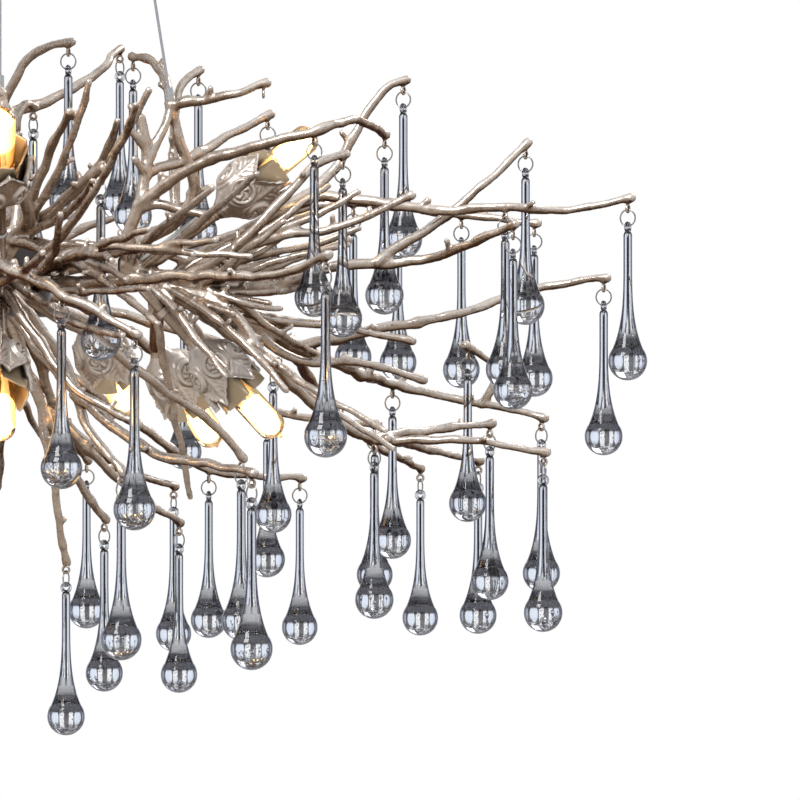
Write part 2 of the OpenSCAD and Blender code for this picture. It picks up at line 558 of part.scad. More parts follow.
module drops(side, i) color("lightcyan") on_side(side) {
    line = lines_of(side)[i];
    for (k = [0:len(line[2]) - 1]) translate(hang(line, k)) rotate(line_turn(line)) {
        translate([0, 0, -ring_r]) rotate([90, 0, 0]) ring(ring_r, ring_wire_r);
        glass_drop();
    }
}

ceiling_plate();
canopy();
canopy_nuts();
cable_gland();
wire_fittings();
for (s = SIDES) wire(s);
hub_housing();
hub_lid();
terminal_block();
hub_arms();
for (s = SIDES) bough(s);
lamp_arms();
lamp_leads();
leaf_cups();
lamp_sleeves();
lamp_sockets();
bulbs();
drop_hooks();
for (s = SIDES, i = [0:len(lines_of(s)) - 1]) drops(s, i);
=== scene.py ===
"""Branch chandelier: materials, cast boughs, leaf cups, bulbs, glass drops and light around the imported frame.

Shapes are worked out in millimetres, in the frame of the source: the ceiling plate's upper face is at z = 0
and the middle of the hub arms at z = HUB_Z. MM takes them to metres.
"""

import math
import random
from functools import partial

import bmesh
import bpy
from mathutils import Matrix, Vector, noise


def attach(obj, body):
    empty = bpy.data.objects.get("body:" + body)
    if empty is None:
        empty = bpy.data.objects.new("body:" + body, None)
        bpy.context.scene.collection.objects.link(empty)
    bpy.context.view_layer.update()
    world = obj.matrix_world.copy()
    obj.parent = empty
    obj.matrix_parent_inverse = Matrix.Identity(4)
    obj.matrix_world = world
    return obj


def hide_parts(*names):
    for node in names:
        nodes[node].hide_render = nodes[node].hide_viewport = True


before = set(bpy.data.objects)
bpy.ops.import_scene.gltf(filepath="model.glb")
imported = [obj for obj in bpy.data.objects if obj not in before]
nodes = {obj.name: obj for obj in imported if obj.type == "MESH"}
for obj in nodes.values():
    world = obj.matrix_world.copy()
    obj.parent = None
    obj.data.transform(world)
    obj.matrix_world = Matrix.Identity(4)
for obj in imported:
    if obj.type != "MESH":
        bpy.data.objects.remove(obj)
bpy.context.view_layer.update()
MM = 0.001

# ---------------------------------------------------------------- the source's own sizes, in millimetres
HUB_Z = -233
SIDES = ["right", "back", "left", "front"]
ARM_REACH = 72
STEM_R = 7.5
FORK_R = 6
TIP_R = 3
TIP_L = 4
TWIG_LIFT = 7
RING_R = 5
RING_WIRE_R = 0.5
EYE_HOLE_R = 1.4
HOOK_WIRE_R = 0.8
EYELET_WIRE_R = 1.2
SEAT_GAP = 0.1
DROP_L = 98
BALL_R = 12
ROD_R = 2.7
CUP_SEAT = 4.1
CUP_R = 16.5
CUP_L = 38
CUP_WALL = 1.6
CUP_NECK_R = 6
ROSETTE_R = 7.75
ROSETTE_Z = 16
SLEEVE_SEAT = 6.2
SLEEVE_R = 12.8
SLEEVE_L = 42
SLEEVE_WALL = 0.9
BULB_SEAT = 32.2
BULB_R = 9
BULB_L = 50
WIRE_D = 1.8
WIRE_TOP_R = 90
WIRE_TOP_Z = 193
FERRULE_TOP = 11

stem_fork = [101, 0, -14]
wire_fork = [105, 0, 98]


def place(line, k):
    """The pivot of the k-th drop of a hang line."""
    first, last, stops = line
    return [u + (v - u) * stops[k] for u, v in zip(first, last)]


def over(lines, i, k):
    """The point of a twig above the k-th drop of a hang line."""
    p = place(lines[i], k)
    return [p[0], p[1], p[2] + TWIG_LIFT]


def beside(p):
    """A place of one bough, seen from the bough that is a quarter turn clockwise."""
    return [-p[1], p[0], p[2]]


# Places are [outwards, across, up] from the middle of the hub arms, in the bough's own direction.
# A hang line is one group of drops: first pivot, last pivot, and where along it the drops hang.
SIDE_LINES = [
    [[253, 60, 111], [385, -20, 34], [0, 0.55, 1]],
    [[189, -62, 72], [310, -12, 29], [0, 1]],
    [[167, 50, 88], [238, 20, 75], [0, 1]],
    [[209, -22, 60], [310, -58, 16], [0, 1]],
    [[229, 165, 38], [343, 125, 24], [0, 0.25, 0.6, 1]],
    [[380, 60, -13], [251, 120, -80], [0, 0.64, 1]],
    [[346, 110, -101], [146, -40, -124], [0, 0.18, 0.57, 1]],
    [[336, 10, -122], [281, 260, -136], [0, 0.51, 1]]
]
CROSS_LINES = [
    [[130, 59, 45], [300, 180, -10], [0, 1]],
    [[205, 35, -29], [230, 76, -52], [0, 1]],
    [[130, 71, -131], [240, 142, -131], [0, 1]],
    [[90, -43, 136], [60, -124, 116], [0, 0.5, 1]],
    [[100, -21, 96], [190, -78, 139], [0, 1]],
    [[150, -67, -166], [200, -117, -170], [0, 1]],
    [[230, -57, -129], [260, -200, -142], [0, 0.57, 1]],
    [[120, -42, -192], [300, -117, -148], [0, 1]],
    [[240, -177, -96], [230, -248, -106], [0, 1]],
    [[300, -124, -25], [150, -176, -64], [0, 1]]
]
on_side, on_cross = partial(over, SIDE_LINES), partial(over, CROSS_LINES)

# Limbs of a bough: radius at the start, radius at the end, points on the way.
ENTRY = [
    [4.6, 3.4, [[86, 2, -2], [88, 12, 16], [106, 17, 25], [117, 14, 40], [118, 10, 56], [109, 4, 78],
        wire_fork]],
    [4.8, 3.2, [[80, -2, 0], [77, -8, 14], [84, -11, 34], [90, -9, 64], [86, -9, 90]]],
    [3.4, 3, [[90, -9, 62], [98, -5, 80], wire_fork]]
]
SIDE_LIMBS = ENTRY + [
    [3.8, 2.6, [wire_fork, [101, 30, 118], [93, 54, 130], beside(on_cross(3, 1))]],
    [3.6, 2.6, [[108, 14, 30], [108, 32, 78], [112, 46, 112], beside(on_cross(3, 2))]],
    [3.6, 2.4, [wire_fork, [124, -6, 101], [143, -14, 105], [161, -12, 111]]],
    [4.8, 2.6, [stem_fork, [125, 18, 8], [160, 30, 26], [200, 48, 52], [220, 55, 80],
        [238, 58, 110], on_side(0, 0)]],
    [4, 2.6, [[84, -11, 36], [124, -32, 62], on_side(1, 0), [216, -28, 88],
        on_side(2, 1)]],
    [3.6, 2.6, [[89, -9, 56], [116, 12, 66], [142, 40, 82], on_side(2, 0)]],
    [4, 2.6, [stem_fork, [140, -34, 8], [176, -36, 44], [194, -28, 62], on_side(3, 0)]],
    [5.2, 2.4, [stem_fork, [132, 0, -12], [165, 4, -12], [209, 4, 0], [258, 2, 3], [290, -36, 14],
        on_side(3, 1)]],
    [4.2, 2.4, [[148, 26, 20], [195, 22, 42], [240, 8, 38], [275, 4, 34], on_side(1, 1),
        [346, -6, 34], on_side(0, 2)]],
    [3.6, 2.4, [[232, 4, 2], [270, 14, 27], [300, 12, 52], on_side(0, 1)]],
    [4.6, 2.4, [stem_fork, [148, 50, 8], [190, 124, 38], on_side(4, 0), on_side(4, 2),
        on_side(4, 3)]],
    [5, 2.4, [stem_fork, [148, 20, -33], [185, 45, -50], [226, 76, -66], on_side(5, 2),
        [310, 116, -86], on_side(6, 0)]],
    [3.2, 2.4, [[308, 116, -86], [318, 112, -64], on_side(5, 1)]],
    [3.8, 2.4, [[185, 45, -50], [230, 55, -40], [290, 56, -28], [340, 76, -12], on_side(5, 0)]],
    [4.4, 2.4, [stem_fork, [135, -25, -25], [165, -32, -60], [200, 0, -92], on_side(6, 2),
        [285, 12, -108], on_side(7, 0)]],
    [3.4, 2.4, [[232, 25, -107], [270, 62, -102], on_side(6, 1)]],
    [3.4, 2.4, [[240, 22, -107], [262, 84, -112], [288, 117, -118], on_side(7, 1)]],
    [3.8, 2.4, [[180, 42, -49], [205, 120, -80], [240, 175, -110], on_side(7, 2)]],
    # twigs without drops
    [3.8, 2.4, [stem_fork, [138, 4, -24], [172, 14, -34], [212, 12, -38], [252, 8, -46]]],
    [3.4, 2.4, [[150, 22, -35], [185, 34, -58], [224, 36, -60], [262, 40, -70]]],
    [3.8, 2.4, [stem_fork, [132, -20, 4], [168, -38, 16], [206, -44, 22], [246, -60, 40]]],
    [3.4, 2.4, [[84, -11, 34], [100, -16, 36], [124, -22, 30]]],
    [3.6, 2.4, [stem_fork, [134, 18, -4], [176, 30, 4], [214, 34, 16]]]
]
CROSS_LIMBS = ENTRY + [
    [3.8, 2.6, [wire_fork, [100, -14, 128], [94, -30, 141], on_cross(3, 0)]],
    [3.6, 2.6, [[87, -9, 72], [85, -10, 92], [92, -16, 104], on_cross(4, 0)]],
    [3.8, 2.6, [wire_fork, [130, -30, 108], [164, -64, 130], [178, -73, 142],
        on_cross(4, 1)]],
    [4.2, 2.6, [[88, 12, 16], [105, 36, 34], on_cross(0, 0)]],
    [4.6, 2.4, [stem_fork, [150, 52, -14], [200, 101, -12], [262, 150, -13], on_cross(0, 1)]],
    [5, 2.4, [stem_fork, [150, -2, -4], on_cross(1, 0), on_cross(1, 1)]],
    [4.2, 2.4, [stem_fork, [108, 34, -55], [118, 52, -100], on_cross(2, 0)]],
    [3.8, 2.4, [[114, 44, -80], [160, 86, -112], [204, 122, -120], on_cross(2, 1)]],
    [4.6, 2.4, [stem_fork, [104, -20, -70], [122, -42, -122], on_cross(5, 0)]],
    [3.4, 2.4, [[108, -26, -85], [160, -82, -140], on_cross(5, 1)]],
    [3.4, 2.4, [[108, -26, -85], [104, -34, -140], on_cross(7, 0)]],
    [4.8, 2.4, [stem_fork, [165, -22, -50], [200, -38, -95], on_cross(6, 0)]],
    [4, 2.4, [[165, -22, -50], [215, -92, -100], on_cross(6, 1), on_cross(6, 2)]],
    [3.6, 2.4, [[200, -38, -95], [262, -80, -128], on_cross(7, 1)]],
    [4.8, 2.4, [stem_fork, [150, -52, -22], [200, -120, -62], on_cross(8, 0),
        on_cross(8, 1)]],
    [4.4, 2.4, [stem_fork, [160, -40, 0], [230, -95, 4], on_cross(9, 0)]],
    [3.8, 2.4, [[150, -52, -22], [140, -122, -40], on_cross(9, 1)]],
    [4.2, 2.4, [stem_fork, [85, 54, -45], [62, 99, -77], [48, 130, -99], beside(on_side(6, 3))]],
    # twigs without drops
    [3.8, 2.4, [stem_fork, [128, 14, -36], [156, 44, -76], [184, 78, -96]]],
    [3.6, 2.4, [stem_fork, [128, -14, 4], [150, -52, 26], [158, -90, 42]]],
    [3.6, 2.4, [[88, 12, 16], [112, 28, 60], [140, 40, 84]]],
    [3.6, 2.4, [stem_fork, [84, -22, -50], [74, -50, -80], [60, -68, -92]]]
]
# Stubs, where a twig was cut off: foot and tip.
STUBS = [
    [[80, 0, 4], [74, 10, 20]], [[80, -4, 0], [82, -16, 8]], [[90, -9, 54], [82, -17, 64]],
    [[88, -9, 72], [78, -12, 84]], [[117, 14, 44], [128, 18, 48]], [[110, 16, 28], [106, 28, 38]],
    [[98, 4, -16], [92, 12, -32]], [[86, -9, 88], [80, -6, 97]]
]
LINES = {"right": SIDE_LINES, "left": SIDE_LINES, "back": CROSS_LINES, "front": CROSS_LINES}
LIMBS = {"right": SIDE_LIMBS, "left": SIDE_LIMBS, "back": CROSS_LIMBS, "front": CROSS_LIMBS}
EMPTY_EYE = [161, -12, 104]

# Lamps: direction round the hub, distance and height of the base, tilt.
LAMPS = (
    [(90 * i, 132, 31, 40) for i in range(4)]
    + [(90 * i, 117, -46, -47) for i in range(4)]
    + [(40 + h, 128, -50, -50) for h in (0, 180)]
    + [(62 + h, 120, -34, -45) for h in (0, 180)]
)


# ---------------------------------------------------------------- mesh helpers
def turned(side):
    """From a bough's own frame to the part's, still in millimetres."""
    return Matrix.Translation((0, 0, HUB_Z)) @ Matrix.Rotation(math.radians(90 * SIDES.index(side)), 4, "Z")


def lamp_frame(lamp):
    a, r, z, tilt = lamp
    spot = Vector((r * math.cos(math.radians(a)), r * math.sin(math.radians(a)), HUB_Z + z))
    return (Matrix.Translation(spot) @ Matrix.Rotation(math.radians(a), 4, "Z")
            @ Matrix.Rotation(math.radians(90 - tilt), 4, "Y"))


def add_object(name, data):
    """A new object in the scene."""
    obj = bpy.data.objects.new(name, data)
    bpy.context.scene.collection.objects.link(obj)
    return obj


class Shell:
    """Vertices and faces of one piece, gathered in millimetres."""

    def __init__(self):
        self.verts, self.faces, self.marks = [], [], []

    def add(self, verts, faces, at=None, mark=0):
        base = len(self.verts)
        self.verts += [at @ Vector(v) for v in verts] if at else [Vector(v) for v in verts]
        self.faces += [tuple(base + i for i in f) for f in faces]
        self.marks += mark if isinstance(mark, list) else [mark] * len(faces)

    def make(self, name, body, materials):
        mesh = bpy.data.meshes.new(name)
        mesh.from_pydata([v * MM for v in self.verts], [], self.faces)
        for m in materials:
            mesh.materials.append(m)
        mesh.polygons.foreach_set("material_index", self.marks)
        mesh.polygons.foreach_set("use_smooth", [True] * len(mesh.polygons))
        mesh.update()
        obj = add_object(name, mesh)
        if body:
            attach(obj, body)
        return obj


def grid_faces(rows, cols, closed_rows=False):
    """Quads of a grid whose columns close round."""
    faces = []
    for i in range(rows if closed_rows else rows - 1):
        here, there = i * cols, (i + 1) % rows * cols
        faces += [(here + j, here + (j + 1) % cols, there + (j + 1) % cols, there + j) for j in range(cols)]
    return faces


def revolve(profile, cols):
    """A closed profile's points (r, z) turned round z. A point on the axis is a small ring of no width."""
    verts = [(r * math.cos(2 * math.pi * j / cols), r * math.sin(2 * math.pi * j / cols), z)
             for r, z in profile for j in range(cols)]
    return verts, grid_faces(len(profile), cols)


def torus(r, wire, cols, rows, round_axis):
    """A ring of wire round the X or the Y axis."""
    turn = Matrix.Rotation(math.pi / 2, 3, {"X": "Y", "Y": "X"}[round_axis])
    verts = []
    for i in range(rows):
        b = 2 * math.pi * i / rows
        reach = r + wire * math.cos(b)
        for j in range(cols):
            a = 2 * math.pi * j / cols
            verts.append(turn @ Vector((reach * math.cos(a), reach * math.sin(a), wire * math.sin(b))))
    return verts, grid_faces(rows, cols, closed_rows=True)


def curve(points, step):
    """The source's smooth curve through points, in short steps."""
    p = [Vector(q) for q in points]
    last, out = len(p) - 1, []
    for i in range(last):
        a, b, c, d = p[max(i - 1, 0)], p[i], p[i + 1], p[min(i + 2, last)]
        n = max(1, round((c - b).length / step))
        for k in range(n):
            t = k / n
            out.append(0.5 * (2 * b + (c - a) * t + (2 * a - 5 * b + 4 * c - d) * t * t
                              + (3 * b - a - 3 * c + d) * t ** 3))
    return out + [p[last]]


# Rings of a tube's round end: width and depth, as shares of the radius.
ROUND_END = [(0.97, 0.35), (0.8, 0.66), (0.45, 0.92)]


def tube(path, radius, cols, ripple=None):
    """A closed tube with round ends.

    radius(i) is its radius at point i of the path, and ripple(i, angle) shapes its section.
    """
    n = len(path)
    heads = [(path[min(i + 1, n - 1)] - path[max(i - 1, 0)]).normalized() for i in range(n)]
    side = Vector((1, 0, 0)) if abs(heads[0].z) > 0.9 else Vector((0, 0, 1))
    rings = []
    for i in range(n):
        side = (side - side.dot(heads[i]) * heads[i]).normalized()
        rings.append((path[i], heads[i], side, radius(i), i))

    def round_end(ring, sign):
        spot, head, across, r, i = ring
        return [(spot + sign * head * r * depth, head, across, r * width, i) for width, depth in ROUND_END]

    rings = round_end(rings[0], -1)[::-1] + rings + round_end(rings[-1], 1)
    verts = []
    for spot, head, across, r, i in rings:
        other = head.cross(across)
        for j in range(cols):
            a = 2 * math.pi * j / cols
            q = r * (1 + (ripple(i, a) if ripple else 0))
            verts.append(spot + q * (math.cos(a) * across + math.sin(a) * other))
    faces = [tuple(reversed(f)) for f in grid_faces(len(rings), cols)]
    base = len(verts)
    for (spot, head, _, r, _), sign in ((rings[0], -1), (rings[-1], 1)):
        verts.append(spot + sign * head * r * 0.25)
    top = (len(rings) - 1) * cols
    faces += [(j, (j + 1) % cols, base) for j in range(cols)]
    faces += [(top + (j + 1) % cols, top + j, base + 1) for j in range(cols)]
    return verts, faces


def ball(spot, r, cols=16, rows=10):
    verts = []
    for i in range(rows):
        up = math.pi * (i + 0.5) / rows
        for j in range(cols):
            a = 2 * math.pi * j / cols
            wide, high = r * math.sin(up), -r * math.cos(up)
            verts.append(Vector(spot) + Vector((wide * math.cos(a), wide * math.sin(a), high)))
    ends = [tuple(reversed(range(cols))), tuple((rows - 1) * cols + j for j in range(cols))]
    return verts, grid_faces(rows, cols) + ends


def baked(obj, *steps):
    """Runs modifiers on a mesh, keeps the result and leaves none on the object."""
    for kind, values in steps:
        m = obj.modifiers.new(kind.lower(), kind)
        for key, value in values.items():
            setattr(m, key, value)
    bpy.context.view_layer.update()
    result = bpy.data.meshes.new_from_object(obj.evaluated_get(bpy.context.evaluated_depsgraph_get()))
    old, obj.data = obj.data, result
    obj.modifiers.clear()
    bpy.data.meshes.remove(old)
    result.polygons.foreach_set("use_smooth", [True] * len(result.polygons))
    return obj


def clouds(name, size):
    t = bpy.data.textures.new(name, "CLOUDS")
    t.noise_scale = size * MM
    t.noise_depth = 2
    return t


# ---------------------------------------------------------------- materials
class Tree:
    """Short words for the nodes of one node tree."""

    def __init__(self, tree):
        self.tree = tree

    def node(self, kind, **values):
        n = self.tree.nodes.new(kind)
        for key, value in values.items():
            if key in n.inputs:
                n.inputs[key].default_value = value
            else:
                setattr(n, key, value)
        return n

    def link(self, a, b):
        self.tree.links.new(a, b)

    def feed(self, value, socket):
        """Links an input to another node's output, or gives it a plain value or colour."""
        if isinstance(value, bpy.types.NodeSocket):
            self.link(value, socket)
        else:
            socket.default_value = (*value, 1) if isinstance(value, tuple) else value

    def ramp(self, source, *stops):
        r = self.node("ShaderNodeValToRGB")
        while len(r.color_ramp.elements) < len(stops):
            r.color_ramp.elements.new(0.5)
        for e, (spot, colour) in zip(r.color_ramp.elements, stops):
            e.position = spot
            e.color = (*colour, 1)
        self.link(source, r.inputs["Fac"])
        return r.outputs["Color"]

    def mix(self, a, b, factor):
        m = self.node("ShaderNodeMix", data_type="RGBA")
        for socket, value in ((m.inputs[0], factor), (m.inputs[6], a), (m.inputs[7], b)):
            self.feed(value, socket)
        return m.outputs[2]

    def span(self, source, low, high, to_low=0.0, to_high=1.0, shape="LINEAR"):
        m = self.node("ShaderNodeMapRange", interpolation_type=shape)
        for key, value in (("From Min", low), ("From Max", high), ("To Min", to_low), ("To Max", to_high)):
            m.inputs[key].default_value = value
        self.link(source, m.inputs["Value"])
        return m.outputs["Result"]

    def maths(self, kind, a, b=0.0):
        m = self.node("ShaderNodeMath", operation=kind)
        for socket, value in zip(m.inputs, (a, b)):
            self.feed(value, socket)
        return m.outputs[0]


class Nodes(Tree):
    """A new material and short words for its nodes."""

    def __init__(self, name, **values):
        self.mat = bpy.data.materials.new(name)
        self.mat.use_nodes = True
        super().__init__(self.mat.node_tree)
        self.shader = self.tree.nodes["Principled BSDF"]
        for key, value in values.items():
            self.shader.inputs[key.replace("_", " ")].default_value = value

    def noise(self, scale, detail=4, stretch=(1, 1, 1)):
        coords = self.node("ShaderNodeTexCoord")
        mapping = self.node("ShaderNodeMapping", Scale=stretch)
        self.link(coords.outputs["Object"], mapping.inputs["Vector"])
        tex = self.node("ShaderNodeTexNoise", Scale=scale, Detail=detail, Roughness=0.55)
        self.link(mapping.outputs["Vector"], tex.inputs["Vector"])
        return tex.outputs["Fac"]

    def bump(self, source, strength, distance_mm):
        b = self.node("ShaderNodeBump", Strength=strength, Distance=distance_mm * MM)
        self.link(source, b.inputs["Height"])
        self.link(b.outputs["Normal"], self.shader.inputs["Normal"])

    def colour(self, source):
        self.link(source, self.shader.inputs["Base Color"])

    def rough(self, source):
        self.link(source, self.shader.inputs["Roughness"])

    def up(self):
        """How far the surface faces up, from -1 to 1."""
        g = self.node("ShaderNodeNewGeometry")
        s = self.node("ShaderNodeSeparateXYZ")
        self.link(g.outputs["Normal"], s.inputs[0])
        return s.outputs["Z"]

    def from_axis(self):
        """Distance from the part's own axis in metres."""
        spot = self.node("ShaderNodeVectorMath", operation="MULTIPLY")
        spot.inputs[1].default_value = (1, 1, 0)
        self.link(self.node("ShaderNodeTexCoord").outputs["Object"], spot.inputs[0])
        size = self.node("ShaderNodeVectorMath", operation="LENGTH")
        self.link(spot.outputs[0], size.inputs[0])
        return size.outputs["Value"]

    def open_to_light(self, reach_mm):
        """1 in the open and towards 0 in hollows and where parts stand close: used for patina in the casting's
        hollows and for painted shade between parts.
        """
        return self.node("ShaderNodeAmbientOcclusion", samples=6, Distance=reach_mm * MM).outputs["AO"]

    def worn(self):
        """Edges are above 0.5 and hollows below it."""
        return self.node("ShaderNodeNewGeometry").outputs["Pointiness"]


def cast_metal(name, light, body, shade, bump_mm=0.15, hollow_mm=5, stain=0.5, metallic=0.85,
               gloss=(0.2, 0.4)):
    """Cast metal with a champagne pewter patina, brown in its hollows and worn bright on its edges, and with
    painted light: a painted highlight on its tops and painted shade below, deep in the crown and close between
    limbs.
    """
    n = Nodes(name, Metallic=metallic, Roughness=0.3, Specular_Tint=(0.35, 0.2, 0.11, 1))
    # painted highlight and painted shade: the tone runs from shade below to light on the tops, by how far the
    # surface faces up
    tone = n.ramp(n.span(n.up(), -1, 1), (0.18, shade), (0.44, body), (0.68, light), (1.0, light))
    # painted shade: near the middle of the crown the tone is pulled towards the body tone, which dims the
    # painted highlight there
    tone = n.mix(tone, body, n.span(n.from_axis(), 0.2, 0.08, 0, 0.35))
    blotch = n.noise(90, 5)
    tone = n.mix(tone, shade, n.span(blotch, 0.54, 0.8, 0, stain))
    # patina in the casting's hollows, and painted shade where limbs meet or pass close
    tone = n.mix(shade, tone, n.span(n.open_to_light(hollow_mm), 0.25, 0.85))
    tone = n.mix(tone, light, n.span(n.worn(), 0.53, 0.60, 0, 0.7))
    tone = n.mix(tone, shade, n.span(n.worn(), 0.48, 0.42, 0, 0.75))
    n.colour(tone)
    n.rough(n.span(n.noise(260, 3), 0.3, 0.7, *gloss))
    n.bump(n.noise(420, 4), 0.6, bump_mm)
    return n.mat


def steel(name, colour, low=0.22, high=0.4, stretch=(1, 1, 8)):
    """Brushed steel, with a grain along its longest stretch."""
    n = Nodes(name, Metallic=1.0)
    grain = n.noise(700, 3, stretch)
    n.colour(n.ramp(n.noise(30, 3), (0.3, tuple(c * 0.88 for c in colour)), (0.7, colour)))
    n.rough(n.span(grain, 0.3, 0.7, low, high))
    n.bump(grain, 0.15, 0.05)
    return n.mat


def satin(name, colour):
    """A smooth satin sleeve, a little darker in random patches, with painted shade towards its seat."""
    n = Nodes(name, Metallic=0.55)
    tone = n.ramp(n.noise(45, 3), (0.3, tuple(c * 0.8 for c in colour)), (0.75, colour))
    # painted shade: darker where the sleeve is hemmed in, towards its seat in the cup
    n.colour(n.mix(tuple(c * 0.3 for c in colour), tone, n.span(n.open_to_light(6), 0.2, 0.8)))
    n.rough(n.span(n.noise(500, 2), 0.3, 0.7, 0.34, 0.46))
    n.bump(n.noise(700, 3), 0.12, 0.04)
    return n.mat


def dull(name, colour, low=0.45, high=0.6, **values):
    """Paint, plastic or ceramic: a plain tone with faint mottling and a fine skin."""
    n = Nodes(name, **values)
    n.colour(n.ramp(n.noise(60, 4), (0.25, tuple(c * 0.86 for c in colour)), (0.75, colour)))
    n.rough(n.span(n.noise(300, 3), 0.3, 0.7, low, high))
    n.bump(n.noise(900, 3), 0.25, 0.06)
    return n.mat


CLEAR = (0.93, 0.95, 0.98)
# the painted dark of the glass: dark refraction and reflection painted into its colour
PAINTED_DARK = (0.006, 0.006, 0.012)


def crystal(name, clear_to=0.3, dark_edge_from=0.64, middle=CLEAR):
    """Heavy clear glass with painted dark refraction: painted near black along its outline and in the shoulder
    over the ball, with painted dark flecks at the bottom.

    A rod's middle is a thin painted dark line, a painted reflection of the dark room behind the viewer.
    """
    n = Nodes(name, Roughness=0.0, IOR=1.52, Transmission_Weight=1.0, Specular_IOR_Level=0.4)
    edge = n.node("ShaderNodeLayerWeight", Blend=0.5).outputs["Facing"]
    # painted dark refraction towards the outline; on the rod, a painted reflection of the dark room down its
    # middle
    tone = n.ramp(edge, (0.0, middle), (0.008, middle), (0.026, CLEAR), (clear_to, (0.84, 0.85, 0.90)),
                  (clear_to + (dark_edge_from - clear_to) * 0.45, (0.25, 0.25, 0.30)), (dark_edge_from, PAINTED_DARK))
    # painted dark refraction: where the glass faces up, in the shoulder over the ball, it is painted near black
    cap = n.span(n.up(), 0.2, 0.3)
    tone = n.mix(tone, PAINTED_DARK, n.maths("MULTIPLY", cap, 0.985))
    # painted dark refraction: dark flecks where the glass faces down, at the bottom of the ball
    painted_dark_below = n.maths("MULTIPLY", n.span(n.noise(330, 3), 0.44, 0.51), n.span(n.up(), -0.2, -0.42))
    n.colour(n.mix(tone, (0.03, 0.03, 0.038), n.maths("MULTIPLY", painted_dark_below, 0.88)))
    n.bump(n.noise(120, 2), 0.12, 0.15)
    return n.mat


def lit_glass(name):
    """The bulbs' clear glass, with a painted glow of the light inside: amber towards its outline, and painted
    shade in dark brown at its very edge.
    """
    n = Nodes(name, Roughness=0.04, IOR=1.45, Transmission_Weight=1.0)
    edge = n.node("ShaderNodeLayerWeight", Blend=0.5).outputs["Facing"]
    # painted glow: amber towards the outline; painted shade: dark brown at the very edge
    n.colour(n.ramp(edge, (0.05, (1.0, 0.93, 0.78)), (0.3, (0.98, 0.72, 0.34)), (0.6, (0.75, 0.3, 0.05)),
                    (0.9, (0.2, 0.06, 0.01))))
    n.bump(n.noise(150, 2), 0.1, 0.2)
    return n.mat


def glowing(name, colour, strength):
    """A lit core, a little uneven in tone."""
    n = Nodes(name, Roughness=0.5, Emission_Strength=strength)
    n.colour(n.ramp(n.noise(200, 2), (0.3, (1.0, 0.8, 0.45)), (0.7, (1.0, 0.9, 0.65))))
    n.link(n.ramp(n.noise(160, 3), (0.25, tuple(c * 0.75 for c in colour)), (0.75, colour)),
           n.shader.inputs["Emission Color"])
    return n.mat


# cast tones: LIGHT is the painted highlight on tops and the bright worn edges, BODY the metal's own tone, SHADE
# the painted shade below and between limbs, and the patina and stains
LIGHT = (0.95, 0.865, 0.79)
BODY = (0.56, 0.43, 0.325)
SHADE = (0.07, 0.038, 0.02)
CAST = cast_metal("cast_champagne", LIGHT, BODY, SHADE)
# the leaf cups' painted highlight, own tone and painted shade
LEAF = cast_metal("leaf_champagne", (0.96, 0.90, 0.84), (0.80, 0.70, 0.61), (0.20, 0.135, 0.09),
                  bump_mm=0.03, hollow_mm=2.0, stain=0.0, metallic=0.6, gloss=(0.3, 0.42))
SLEEVE = satin("satin_champagne", (0.68, 0.54, 0.36))
STEEL = steel("brushed_steel", (0.66, 0.66, 0.65))
WIRE = steel("wire_steel", (0.62, 0.62, 0.63), 0.2, 0.35, (1, 1, 30))
RING = steel("ring_steel", (0.42, 0.41, 0.40), 0.12, 0.25, (1, 1, 1))
DARK = dull("dark_paint", (0.085, 0.075, 0.068), 0.3, 0.5, Metallic=0.4)
WHITE = dull("ceiling_paint", (0.8, 0.8, 0.79))
GLAND = dull("gland_plastic", (0.05, 0.05, 0.05))
TERMINAL = dull("terminal_plastic", (0.82, 0.8, 0.74))
CERAMIC = dull("lamp_ceramic", (0.88, 0.86, 0.82), 0.5, 0.7)
LEAD = dull("lead_sheath", (0.74, 0.73, 0.71), 0.3, 0.5)
CRYSTAL = crystal("clear_crystal")
CRYSTAL_ROD = crystal("clear_crystal_rod", clear_to=0.14, dark_edge_from=0.44, middle=PAINTED_DARK)
BULB = lit_glass("bulb_glass")
GLOW = glowing("bulb_glow", (1.0, 0.70, 0.36), 5.0)
# painted glow: the posts inside the bulb give no light of their own, yet glow faintly amber
POST_GLOW = glowing("bulb_post_glow", (1.0, 0.62, 0.30), 0.9)

for name, mat in {"ceiling_plate": WHITE, "canopy": STEEL, "canopy_nuts": STEEL, "cable_gland": GLAND,
                  "wire_fittings": STEEL, "hub_housing": DARK, "hub_lid": DARK, "terminal_block": TERMINAL,
                  "hub_arms": CAST, "lamp_arms": CAST, "lamp_leads": LEAD, "lamp_sockets": CERAMIC}.items():
    nodes[name].data.materials.clear()
    nodes[name].data.materials.append(mat)
EDGE_MM = 0.4
for name in ("canopy", "hub_housing", "hub_lid", "hub_arms", "terminal_block", "canopy_nuts"):
    edge = nodes[name].modifiers.new("edge", "BEVEL")
    edge.width = EDGE_MM * MM
    edge.segments = 2
    edge.limit_method = "ANGLE"


# ---------------------------------------------------------------- camera, fitted to the photograph
camera = add_object("camera", bpy.data.cameras.new("camera"))
EYE = Vector((0.0, -3.0, -0.316))
AIM = Vector((0.246, 0.0, -0.316))
camera.location = EYE
camera.rotation_euler = (AIM - EYE).to_track_quat("-Z", "Y").to_euler()
camera.data.lens = 219.5
camera.data.sensor_width = 36
camera.data.clip_end = 60
bpy.context.scene.camera = camera


